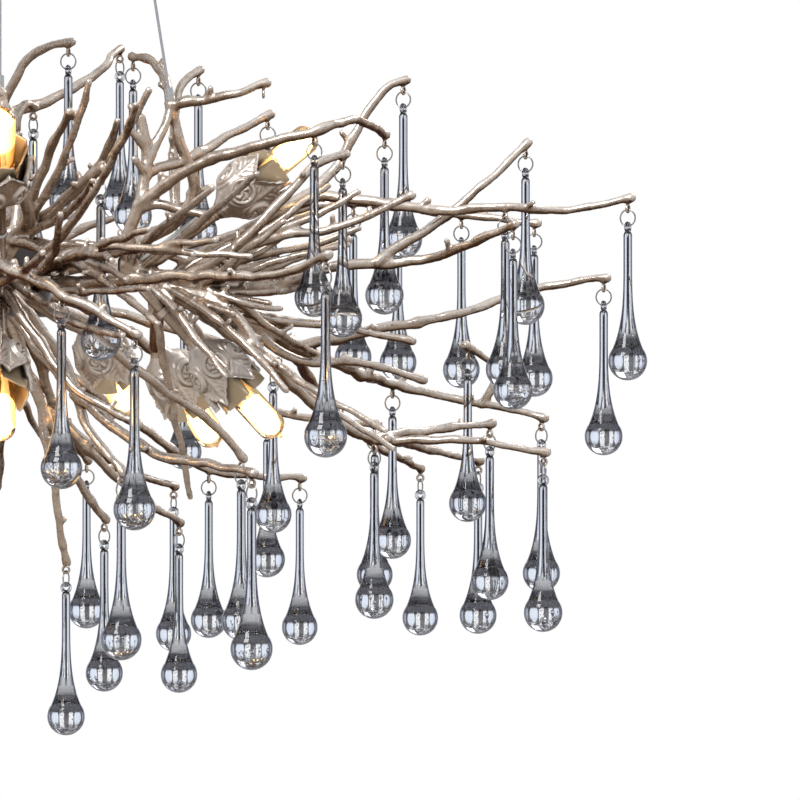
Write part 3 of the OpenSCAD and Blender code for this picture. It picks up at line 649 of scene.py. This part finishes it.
# ---------------------------------------------------------------- suspension wires
lean = math.atan2(WIRE_TOP_R - wire_fork[0], WIRE_TOP_Z - wire_fork[2])
wire_low = Vector(wire_fork) + FERRULE_TOP * Vector((math.sin(lean), 0, math.cos(lean)))
wire_high = Vector((WIRE_TOP_R, 0, WIRE_TOP_Z))
WIRE_STEPS = 11
for side in SIDES:
    ends = [turned(side) @ p * MM for p in (wire_high, wire_low)]
    line = bpy.data.curves.new("wire_" + side, "CURVE")
    line.dimensions = "3D"
    line.bevel_depth = WIRE_D / 2 * MM
    line.bevel_resolution = 5
    run = line.splines.new("POLY")
    run.points.add(WIRE_STEPS)
    for i, point in enumerate(run.points):
        point.co = (*ends[0].lerp(ends[1], i / WIRE_STEPS), 1)
    line.materials.append(WIRE)
    wire = add_object("wire_%s_strand" % side, line)
    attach(wire, "body")
    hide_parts("wire_" + side)
    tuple(ends[0])


# ---------------------------------------------------------------- cast boughs
STEP = 2.6              # distance between the rings of a twig
COLS = 12               # points round a twig
WOBBLE = 1.5            # how far a twig strays from its line
KNOT_EVERY = 18         # rings for each knot
KNOT_W = 1.4            # width of a knot, in rings
TIP_RUN = 12            # length over which a twig swells to its tip
SPUR_EVERY = 9          # rings between the places for a spur
SPUR_CHANCE = 0.4
THIN_R = (3.2, 2.1)     # radii of the thin twigs without drops, at foot and tip
TEST_STEP = 4           # distance between the places tested along a thin twig
FILLER = (45, 16)       # a filler's least length, and the least distance between two tips
SPRAYS = 22             # thin twigs that leave each stem on all sides
SPRAY_TRIES = 260
SPRAY_L = (80, 165)
SPRAY = (50, 22)        # least length and distance of these
SWING_SLOPE = 0.22      # how far a drop swings out, for each millimetre under its pivot
BALL_FROM = 76          # depth under the pivot where the ball begins
BULB_FROM = 50          # distance along a lamp where the cup and sleeve end and the bulb goes on
LAMP_END = 88
LAMP_ROOM = (22, 14)    # room round cup and sleeve, and round the bulb
BULB_SPOTS = (48, 62, 76)
BULB_ROOM = 13
CROWN_R = 285           # the thin twigs stay within this radius, and between these heights
CROWN_Z = (HUB_Z - 165, HUB_Z + 105)
STEM_SPOTS = [[84, 0, -4], [90, 1, -8], [96, 0, -11], stem_fork, [112, 8, -12], [118, -10, -16], [88, 6, 12]]
VOXEL = 1.15            # grain of the skin that joins a bough's limbs
BARK = [("bark_coarse", 7, 0.6), ("bark_fine", 2.2, 0.22)]      # size and height of the grain


def twig(shell, r0, r1, points, rand, at, tip=True):
    """One cast limb: tapered, a little crooked, with knots, ridges and a swollen tip."""
    path = curve(points, STEP)
    n = len(path)
    phase = rand.uniform(0, 100)
    knots = [(rand.uniform(0.12, 0.9) * n, rand.uniform(0.1, 0.28)) for _ in range(max(1, n // KNOT_EVERY))]
    lobes, twist = rand.choice((2, 3, 4)), rand.uniform(-0.12, 0.12)

    def free(i):
        """0 at both ends, where the limb has to stay put."""
        return min(1, i / 5, (n - 1 - i) / 5)

    for i in range(n):
        s = i * 0.16 + phase
        path[i] += free(i) * Vector((noise.noise((s, 0, phase)), noise.noise((s, 7, phase)),
                                     noise.noise((s, 13, phase)))) * WOBBLE
    if tip:
        path.append(path[-1] + (path[-1] - path[-2]).normalized() * TIP_L * 0.55)

    def radius(i):
        r = r0 + (r1 - r0) * i / n
        r *= 0.95 + 0.12 * noise.noise((i * 0.21, phase, 3))
        r *= 1 + sum(size * math.exp(-((i - spot) / KNOT_W) ** 2) for spot, size in knots)
        if tip:
            k = max(0.0, 1 - (n - i) * STEP / TIP_RUN)
            r += (TIP_R * 1.02 - r) * k * k * (3 - 2 * k)
        return r

    def ripple(i, a):
        grain = noise.noise((math.cos(a) * 1.5, math.sin(a) * 1.5, i * 0.35 + phase))
        return 0.05 * math.sin(lobes * a + twist * i + phase) + 0.04 * grain

    shell.add(*tube(path, radius, COLS, ripple), at=at)
    return path


def spur(shell, path, i, rand, at, r):
    """A short stub where a side shoot was cut off."""
    head = (path[min(i + 1, len(path) - 1)] - path[i - 1]).normalized()
    out = head.orthogonal().normalized()
    out.rotate(Matrix.Rotation(rand.uniform(0, 2 * math.pi), 3, head))
    if out.z < 0:
        out = -out
    way = (out + head * rand.uniform(0.2, 0.9)).normalized()
    length = rand.uniform(4.5, 8.5)
    line = [path[i], path[i] + way * length * 0.5, path[i] + way * length]
    shell.add(*tube(line, lambda k: r * (0.95, 0.75, 0.8)[k], 10), at=at)


PIVOTS = [turned(side) @ Vector(place(line, k)) for side in SIDES for line in LINES[side]
          for k in range(len(line[2]))]
LAMP_AXES = [(lamp_frame(lamp).translation, lamp_frame(lamp).to_3x3() @ Vector((0, 0, 1))) for lamp in LAMPS]


def is_free(spot):
    """Whether a twig can pass here, clear of every drop as it swings and of every lamp."""
    for pivot in PIVOTS:
        away = spot - pivot
        depth = -away.z
        if -5 < depth < DROP_L + 22:
            reach = 7 + depth * SWING_SLOPE + (BALL_R - 2 if depth > BALL_FROM else 0)
            if math.hypot(away.x, away.y) < reach:
                return False
    for foot, way in LAMP_AXES:
        far = (spot - foot).dot(way)
        if -2 < far < LAMP_END and ((spot - foot) - far * way).length < LAMP_ROOM[far >= BULB_FROM]:
            return False
    return True


def fillers(side, rand):
    """Thin twigs without drops, each on the way between two limbs that leave the same fork."""
    at = turned(side)
    roots = [limb[2] for limb in LIMBS[side] if limb[2][0] is stem_fork]
    found = []
    for i, a in enumerate(roots):
        for b in roots[i + 1:]:
            share, reach = rand.uniform(0.25, 0.75), rand.uniform(0.5, 0.95)
            ways = [curve(p, STEP) for p in (a, b)]
            points = [w[round(reach * k / 8 * (len(w) - 1))] for k in range(9) for w in ways]
            path = [p.lerp(q, share) for p, q in zip(points[::2], points[1::2])]
            while len(path) > 4 and not all(is_free(at @ p) for p in curve(path, TEST_STEP)):
                path.pop()
            long_enough = (path[-1] - path[0]).length > FILLER[0]
            apart = all((path[-1] - other[-1]).length > FILLER[1] for other in found)
            if len(path) > 4 and long_enough and apart:
                found.append(path)
    return found


def hides_bulb(spot):
    """Whether a thin twig would pass before a bulb, seen from the front."""
    for foot, way in LAMP_AXES:
        for far in BULB_SPOTS:
            bulb = foot + far * way
            if spot.y < bulb.y and math.hypot(spot.x - bulb.x, spot.z - bulb.z) < BULB_ROOM:
                return True
    return False


def in_crown(spot):
    """Whether a thin twig stays within the crown of the drops' own twigs."""
    return math.hypot(spot.x, spot.y) < CROWN_R and CROWN_Z[0] < spot.z < CROWN_Z[1]


def sprays(side, rand):
    """Thin twigs without drops that leave the stem on all sides.

    Each is cut where it would come into the way of a drop or lamp, or leave the crown.
    """
    at = turned(side)
    found = []
    for _ in range(SPRAY_TRIES):
        foot = Vector(rand.choice(STEM_SPOTS))
        turn, lift = math.radians(rand.uniform(-80, 80)), math.radians(rand.uniform(-64, 36))
        way = Vector((math.cos(turn) * math.cos(lift), math.sin(turn) * math.cos(lift), math.sin(lift)))
        bend = Vector((rand.uniform(0, 0.9), rand.uniform(-0.7, 0.7), rand.uniform(-0.9, 0.7)))
        length = rand.uniform(*SPRAY_L)
        path = [foot + length * (k / 7) * (way + bend * 0.5 * k / 7) for k in range(8)]
        while len(path) > 3 and not all(is_free(at @ p) and in_crown(at @ p) and not hides_bulb(at @ p)
                                        for p in curve(path[1:], TEST_STEP)):
            path.pop()
        long_enough = (path[-1] - foot).length > SPRAY[0]
        apart = all((path[-1] - other[-1]).length > SPRAY[1] for other in found)
        if len(path) > 3 and long_enough and apart:
            found.append(path)
        if len(found) == SPRAYS:
            break
    return found


def bough(side):
    """One cast bough: stem, limbs, thin twigs, spurs and stubs in one skin."""
    rand = random.Random(7 + SIDES.index(side) % 2)
    at = turned(side)
    shell = Shell()
    root = [Vector((ARM_REACH + 0.2 + STEM_R * 0.9, 0, 0)), Vector((ARM_REACH + 9, 0, -2))]
    shell.add(*tube(root, lambda i: STEM_R, 20), at=at)
    stem = curve([[ARM_REACH + 6, 0, -1], [88, 0, -7], stem_fork], 3)
    shell.add(*tube(stem, lambda i: FORK_R + 1.2, 18), at=at)
    shell.add(*ball(stem_fork, FORK_R + 2.2), at=at)
    shell.add(*ball(wire_fork, 4.4), at=at)
    for number, (r0, r1, points) in enumerate(LIMBS[side]):
        path = twig(shell, r0, r1, points, rand, at, tip=number >= len(ENTRY))
        for i in range(SPUR_EVERY, len(path) - SPUR_EVERY, SPUR_EVERY):
            if rand.random() < SPUR_CHANCE:
                spur(shell, path, i, rand, at, (r0 + (r1 - r0) * i / len(path)) * 0.8)
    for points in fillers(side, rand) + sprays(side, rand):
        path = twig(shell, *THIN_R, points, rand, at, tip=False)
        spur(shell, path, len(path) // 2, rand, at, 2.2)
    for foot, tip in STUBS:
        foot, tip = Vector(foot), Vector(tip)
        shell.add(*tube([foot, foot.lerp(tip, 0.6), tip], lambda i: (2.9, 2.4, 2.5)[i], 10), at=at)
    # bosses over the cast eyes
    for line in LINES[side]:
        for k in range(len(line[2])):
            boss = [Vector(over([line], 0, k)) - Vector((0, 0, down)) for down in (0, 2.2, 3.6)]
            shell.add(*tube(boss, lambda i: (2.6, 1.9, 1.25)[i], 10), at=at)
    obj = shell.make("bough_%s_cast" % side, None, [CAST])
    baked(obj, ("REMESH", {"mode": "VOXEL", "voxel_size": VOXEL * MM, "use_smooth_shade": True}),
          ("SMOOTH", {"factor": 0.5, "iterations": 2}),
          *[("DISPLACE", {"texture": clouds(name, size), "strength": high * MM, "mid_level": 0.5})
            for name, size, high in BARK])
    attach(obj, "body")
    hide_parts("bough_" + side)


for side in SIDES:
    bough(side)

# ---------------------------------------------------------------- cast eyes under the twigs
shell = Shell()
EYE_R = EYE_HOLE_R + HOOK_WIRE_R
RISE = EYE_HOLE_R - RING_WIRE_R - SEAT_GAP


def hang_frame(side, line, k):
    """Stands at the k-th pivot of a hang line, with x along the line as seen from above."""
    a, b, _ = line
    turn = Matrix.Rotation(math.atan2(b[1] - a[1], b[0] - a[0]), 4, "Z")
    return turned(side) @ Matrix.Translation(place(line, k)) @ turn


def raised(z):
    return Matrix.Translation((0, 0, z))


def cast_eye(at):
    shell.add(*torus(EYE_R, HOOK_WIRE_R, 28, 12, "X"), at=at @ raised(RISE))
    neck = [Vector((0, 0, z)) for z in (RISE + EYE_R, RISE + EYE_R + 1.2, TWIG_LIFT - 2)]
    shell.add(*tube(neck, lambda i: (0.85, 1.1, 1.7)[i], 14), at=at)


for side in SIDES:
    for line in LINES[side]:
        for k in range(len(line[2])):
            cast_eye(hang_frame(side, line, k))
    if LINES[side] is SIDE_LINES:
        cast_eye(turned(side) @ Matrix.Translation(EMPTY_EYE))
hooks = shell.make("drop_hooks_cast", "body", [CAST])
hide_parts("drop_hooks")


# ---------------------------------------------------------------- glass drops on their rings
NECK_A = 38             # degrees above the ball's middle where the neck flows into it
FLARE_FROM = 14         # distance under the shoulder where the rod begins to widen
FLARE = 3.7             # the higher, the later it widens
FLARE_STEPS = 28


def glass_profile():
    """The outline of a drop under its eyelet, from the top down, and the height and radius of the eyelet."""
    eye_r = EYE_HOLE_R + EYELET_WIRE_R
    eye_z = -2 * RING_R - RISE
    low = eye_z + eye_r + EYELET_WIRE_R - DROP_L
    shoulder = eye_z - eye_r
    neck_z = low + BALL_R + BALL_R * math.sin(math.radians(NECK_A))
    neck_r = BALL_R * math.cos(math.radians(NECK_A))
    head = [(0.01, shoulder + 0.9), (ROD_R * 0.4, shoulder + 0.6), (ROD_R * 0.75, shoulder - 0.2),
            (ROD_R, shoulder - 1.8)]
    rest = [(ROD_R, shoulder - 5), (ROD_R, shoulder - 9)]
    for k in range(FLARE_STEPS + 1):
        t = k / FLARE_STEPS
        rest.append((ROD_R + (neck_r - ROD_R) * t ** FLARE,
                     shoulder - FLARE_FROM + (neck_z - shoulder + FLARE_FROM) * t))
    for k in range(1, 33):
        a = math.radians(NECK_A - 4 * k)
        rest.append((max(BALL_R * math.cos(a), 0.01), low + BALL_R + BALL_R * math.sin(a)))
    return head + sorted(rest, key=lambda p: -p[1]), eye_z, eye_r


PROFILE, EYELET_Z, EYELET_R = glass_profile()
GLASS = revolve(list(reversed(PROFILE)), 40)
# 1 on the rod's faces, 0 on those of the ball and its shoulder
ROD_FACES = [int(GLASS[0][f[0]][2] > PROFILE[-1][1] + 2.6 * BALL_R) for f in GLASS[1]]
EYELET = torus(EYELET_R, EYELET_WIRE_R, 28, 14, "X")
WIRE_RING = torus(RING_R, RING_WIRE_R, 44, 10, "Y")
for side in SIDES:
    for i, line in enumerate(LINES[side]):
        name = "drops_%s_%d" % (side, i + 1)
        glass, rings = Shell(), Shell()
        for k in range(len(line[2])):
            at = hang_frame(side, line, k)
            glass.add(*GLASS, at=at, mark=ROD_FACES)
            glass.add(*EYELET, at=at @ raised(EYELET_Z))
            rings.add(*WIRE_RING, at=at @ raised(-RING_R))
        drop = glass.make(name + "_glass", name, [CRYSTAL, CRYSTAL_ROD])
        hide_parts(name)
        rings.make(name + "_rings", name, [RING])


# ---------------------------------------------------------------- leaf cups, sleeves and bulbs
def smoothstep(a, b, x):
    t = min(1, max(0, (x - a) / (b - a)))
    return t * t * (3 - 2 * t)


def along(profile, t):
    """The point a share t along a profile, by its length."""
    spans = [math.dist(a, b) for a, b in zip(profile, profile[1:])]
    rest = t * sum(spans)
    for (a, b), s in zip(zip(profile, profile[1:]), spans):
        if rest <= s:
            k = rest / s
            return a[0] + (b[0] - a[0]) * k, a[1] + (b[1] - a[1]) * k
        rest -= s
    return profile[-1]


CUP_OUT = [(3, 0), (CUP_NECK_R, 0), (CUP_NECK_R + 0.9, 1.2), (CUP_NECK_R + 1.6, 2.5), (CUP_R - 5.2, 6.2),
           (CUP_R - 3.2, 9.4), (CUP_R - 1.6, 13), (CUP_R - 0.7, 18), (CUP_R, 27), (CUP_R + 0.7, CUP_L),
           (CUP_R + 1.4, CUP_L + 3)]
PETALS = 5              # leaves of a cup, and petals of a sleeve
SPIN = 180              # columns of a cup
CUP_ROWS = 81
NOTCH_Z = 25.5          # foot of the notches between the leaves
LEAF_Z = 18             # where the cup's rows begin to follow its rim
RUFFLE = 4.5            # height of the leaves' ruffled edge
SCROLL_Z = ROSETTE_Z + 0.5
INNER_R = 2.9           # radius of the hole in a cup's or sleeve's foot


def cup():
    """A cast calyx of five leaves that meet in deep notches, with a carved scroll under each notch."""
    sector = 2 * math.pi / PETALS
    outer = []
    for i in range(CUP_ROWS):
        r, z_even = along(CUP_OUT, i / (CUP_ROWS - 1))
        ring = []
        for j in range(SPIN):
            a = 2 * math.pi * j / SPIN
            off = (a + math.pi / 2 + sector / 2) % sector - sector / 2
            share = abs(off) / (sector / 2)
            ragged = 1.2 * noise.noise((a * 7, 3, 0)) + 0.6 * noise.noise((a * 19, 5, 0))
            rim = NOTCH_Z + (CUP_L + 1.5 - NOTCH_Z) * (0.72 * share ** 0.55 + 0.28 * share ** 3) + ragged
            z = min(z_even, LEAF_Z) + max(z_even - LEAF_Z, 0) * (rim - LEAF_Z) / (CUP_L + 3 - LEAF_Z)
            leafy = smoothstep(15, 24, z)
            # furrows run up and out from the middle of the leaf, which is a raised vein
            slant = z * 1.05 + 11 * share + 2.2 * noise.noise((a * 3, z * 0.16, 1))
            d = leafy * (0.6 * abs(math.sin(slant * 0.8)) - 0.4) * smoothstep(0.02, 0.2, 1 - share)
            d += leafy * 0.9 * math.exp(-((1 - share) * 9 / 1.2) ** 2)
            d += leafy * 0.12 * noise.noise((a * 9, z * 0.5, 4))
            # the leaf's edge is ruffled and stands out
            d += (1.3 + 1.1 * noise.noise((a * 8, 9, 0))) * smoothstep(rim - RUFFLE, rim, z)
            # the scroll, in a bowl with a thin rim, and the smooth lip round its lower side
            u, v = off * CUP_R, z - SCROLL_Z
            q, turn = math.hypot(u, v), math.atan2(v, u)
            if q < ROSETTE_R + 1.5:
                inside = smoothstep(ROSETTE_R + 1.5, ROSETTE_R - 0.3, q)
                bowl = 2.5 * inside - 2.2 * smoothstep(ROSETTE_R - 1.3, ROSETTE_R - 2.4, q)
                blades = 1.5 * abs(math.sin(2.5 * turn + 0.42 * q + 1.2 * noise.noise((u * 0.3, v * 0.3, 7))))
                d = d * (1 - inside) + bowl + blades * smoothstep(ROSETTE_R - 1.8, ROSETTE_R - 3, q)
            lip = math.exp(-((q - ROSETTE_R - 1.9) / 1.0) ** 2) * smoothstep(4, -3, v)
            d = max(d, 0) * (1 - lip) + d * lip + 1.3 * lip if v < 4 else d
            d *= min(1, z / 5)
            ring.append(((r + d) * math.cos(a), (r + d) * math.sin(a), z))
        outer.append(ring)
    verts = [p for ring in outer for p in ring]
    kept = list(range(CUP_ROWS - 1, -1, -2))
    for i in kept:
        plain, _ = along(CUP_OUT, i / (CUP_ROWS - 1))
        for j in range(SPIN):
            x, y, z = outer[i][j]
            a = 2 * math.pi * j / SPIN
            r = max(min(plain - CUP_WALL, math.hypot(x, y) - 0.7), INNER_R)
            verts.append((r * math.cos(a), r * math.sin(a), max(z, 2)))
    return verts, grid_faces(CUP_ROWS + len(kept), SPIN, closed_rows=True)


def sleeve():
    """A satin sleeve that turns from round to five flat petals, each flaring a little at its straight rim."""
    outer = [(3, 0), (CUP_NECK_R - 1.4, 0), (SLEEVE_R - 2.6, 8), (SLEEVE_R - 0.7, 11.5), (SLEEVE_R, 14.5),
             (SLEEVE_R, SLEEVE_L - 13), (SLEEVE_R + 0.5, SLEEVE_L - 9), (SLEEVE_R + 1.4, SLEEVE_L - 5),
             (SLEEVE_R + 2.4, SLEEVE_L - 2.4), (SLEEVE_R + 3.6, SLEEVE_L + 0.4)]
    rows, spin, sector = 44, 120, 2 * math.pi / PETALS
    petal_z = SLEEVE_L - 13
    sheet = []
    for i in range(rows):
        r, z = along(outer, i / (rows - 1))
        for j in range(spin):
            a = 2 * math.pi * j / spin
            off = (a + sector / 2) % sector - sector / 2
            share = abs(off) / (sector / 2)
            flat = smoothstep(14, 24, z)
            r2 = r * (1 - flat) + flat * r * 0.95 * min(1 / math.cos(off), 1.1)
            z2 = z
            if z > petal_z:
                rim = SLEEVE_L + 0.4 - 11 * smoothstep(0.84, 1.0, share) - 0.8 * share ** 2
                z2 = petal_z + (z - petal_z) * (rim - petal_z) / (SLEEVE_L + 0.4 - petal_z)
            sheet.append((a, r2, z2))
    verts = [(r * math.cos(a), r * math.sin(a), z) for a, r, z in sheet]
    for i in range(rows - 1, -1, -1):
        for j in range(spin):
            a, r, z = sheet[i * spin + j]
            r = max(r - SLEEVE_WALL, INNER_R)
            verts.append((r * math.cos(a), r * math.sin(a), max(z, SLEEVE_WALL)))
    return verts, grid_faces(2 * rows, spin, closed_rows=True)


cups, sleeves, bulbs, glows, posts = (Shell() for _ in range(5))
cup_mesh, sleeve_mesh = cup(), sleeve()
DOME_Z = BULB_L - 10
bulb_out = [(0.01, -7.9), (4.9, -7.9), (5, 1), (6.6, 1.4), (BULB_R - 0.8, 2.5), (BULB_R - 0.2, 4),
            (BULB_R, 6), (BULB_R, 20), (BULB_R, DOME_Z)]
bulb_out += [(BULB_R * math.cos(math.radians(a)), DOME_Z + 7.5 * math.sin(math.radians(a)))
             for a in range(8, 80, 8)]
bulb_out += [(1.6, BULB_L - 2.4), (1.5, BULB_L - 1), (0.8, BULB_L), (0.01, BULB_L)]
core = [(0.01, 18), (3.6, 18.5), (5.2, 20.5), (5.6, BULB_L - 14), (4.1, BULB_L - 9), (2.2, BULB_L - 7.2),
        (0.01, BULB_L - 7)]
POSTS = [(2.6, 1.2, 17.6), (-2.2, 2.4, 17.4), (-1.4, -3.0, 17.8), (3.2, -2.4, 17.5)]     # x, y and top
for lamp in LAMPS:
    at = lamp_frame(lamp)
    cups.add(*cup_mesh, at=at @ raised(CUP_SEAT))
    sleeves.add(*sleeve_mesh, at=at @ raised(SLEEVE_SEAT))
    bulb_at = at @ raised(BULB_SEAT)
    bulbs.add(*revolve(bulb_out, 40), at=bulb_at)
    glows.add(*revolve(core, 28), at=bulb_at)
    for x, y, top in POSTS:
        post = [Vector((x * 0.6, y * 0.6, 1.6)), Vector((x, y, 6)), Vector((x * 1.1, y * 1.1, top))]
        posts.add(*tube(post, lambda i: (0.55, 0.8, 1.3)[i], 10), at=bulb_at)
for shell, name, mat, slot_, old in ((cups, "leaf_cups_carved", LEAF, "leaf", "leaf_cups"),
                                     (sleeves, "lamp_sleeves_petals", SLEEVE, "sleeve", "lamp_sleeves"),
                                     (bulbs, "bulb_envelopes", BULB, "bulb_glass", "bulbs"),
                                     (glows, "bulb_cores", GLOW, "bulb_glass", None),
                                     (posts, "bulb_posts", POST_GLOW, "bulb_glass", None)):
    piece = shell.make(name, "body", [mat])
    if old:
        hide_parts(old)


# ---------------------------------------------------------------- studio
def studio_world():
    """White for the camera, a dark room with windows for gloss and glass, and a soft light for the rest."""
    world = bpy.data.worlds.new("studio")
    bpy.context.scene.world = world
    world.use_nodes = True
    world.node_tree.nodes.clear()
    t = Tree(world.node_tree)
    maths = t.maths

    def times(a, b):
        return maths("MULTIPLY", a, b)

    def step(source, low, high):
        return t.span(source, low, high, shape="SMOOTHSTEP")

    def specks(scale):
        tex = t.node("ShaderNodeTexNoise", Scale=scale)
        t.link(way, tex.inputs["Vector"])
        return tex.outputs["Fac"]

    def shader(factor, a, b):
        m = t.node("ShaderNodeMixShader")
        for socket, source in zip(m.inputs, (factor, a, b)):
            t.link(source, socket)
        return m.outputs[0]

    way = t.node("ShaderNodeTexCoord").outputs["Generated"]
    split = t.node("ShaderNodeSeparateXYZ")
    t.link(way, split.inputs[0])
    x, y, z = split.outputs
    # degrees from the middle of the nearest of the four walls
    a = times(maths("ARCTAN2", x, y), 180 / math.pi)
    off = maths("ABSOLUTE", maths("SUBTRACT", maths("MODULO", maths("ADD", a, 405.0), 90.0), 45.0))
    # a tall oval window, 29 degrees to each side of it
    aside = maths("DIVIDE", maths("SUBTRACT", off, 29.0), 12.0)
    oval = maths("ADD", times(aside, aside), times(times(z, z), 7.5))
    flank = step(oval, 1.0, 0.8)
    # a narrow speckled one, 5 to 15 degrees to each side
    middle = times(times(step(off, 4.5, 6.0), step(off, 16.0, 14.5)), step(specks(16), 0.38, 0.43))
    middle = times(middle, times(step(z, -0.40, -0.36), step(z, 0.42, 0.38)))
    # patches of light overhead
    above = times(step(specks(6.5), 0.46, 0.50), step(z, 0.36, 0.42))
    window = maths("MAXIMUM", maths("MAXIMUM", middle, flank), above)
    room = t.ramp(step(z, -1.0, 1.0), (0.15, (0.05, 0.05, 0.06)), (0.9, (0.24, 0.235, 0.24)))
    pane = t.mix((1.0, 1.0, 1.0), (0.84, 0.90, 1.0), flank)
    gloss = t.node("ShaderNodeBackground")
    t.link(t.mix(room, pane, window), gloss.inputs["Color"])
    soft = t.node("ShaderNodeBackground", Color=(0.97, 0.985, 1.0, 1), Strength=0.55)
    white = t.node("ShaderNodeBackground", Color=(1, 1, 1, 1))
    path = t.node("ShaderNodeLightPath")
    mirror = maths("MAXIMUM", path.outputs["Is Glossy Ray"], path.outputs["Is Transmission Ray"])
    seen = shader(mirror, soft.outputs[0], gloss.outputs[0])
    seen = shader(path.outputs["Is Camera Ray"], seen, white.outputs[0])
    t.link(seen, t.node("ShaderNodeOutputWorld").inputs[0])


studio_world()


def softbox(name, spot, size, watts):
    """A square light that faces the crown."""
    lamp = bpy.data.lights.new(name, "AREA")
    lamp.size = size
    lamp.energy = watts
    obj = add_object(name, lamp)
    obj.location = spot
    obj.rotation_euler = (Vector((0, 0, -0.3)) - Vector(spot)).to_track_quat("-Z", "Y").to_euler()


softbox("key_box", (-0.9, -1.3, 1.2), 0.9, 30)
softbox("back_box", (1.1, 1.2, 0.9), 0.8, 12)

FLOOR_Z = -1.25
floor_mesh = bpy.data.meshes.new("floor")
maker = bmesh.new()
bmesh.ops.create_circle(maker, cap_ends=True, radius=3.2, segments=96)
maker.to_mesh(floor_mesh)
maker.free()
floor = add_object("floor", floor_mesh)
floor.location.z = FLOOR_Z
paint = Nodes("floor_paint", Roughness=0.9)
paint.colour(paint.ramp(paint.noise(3, 2), (0.3, (0.90, 0.90, 0.90)), (0.7, (0.92, 0.92, 0.92))))
floor_mesh.materials.append(paint.mat)

bpy.context.scene.view_settings.view_transform = "Standard"
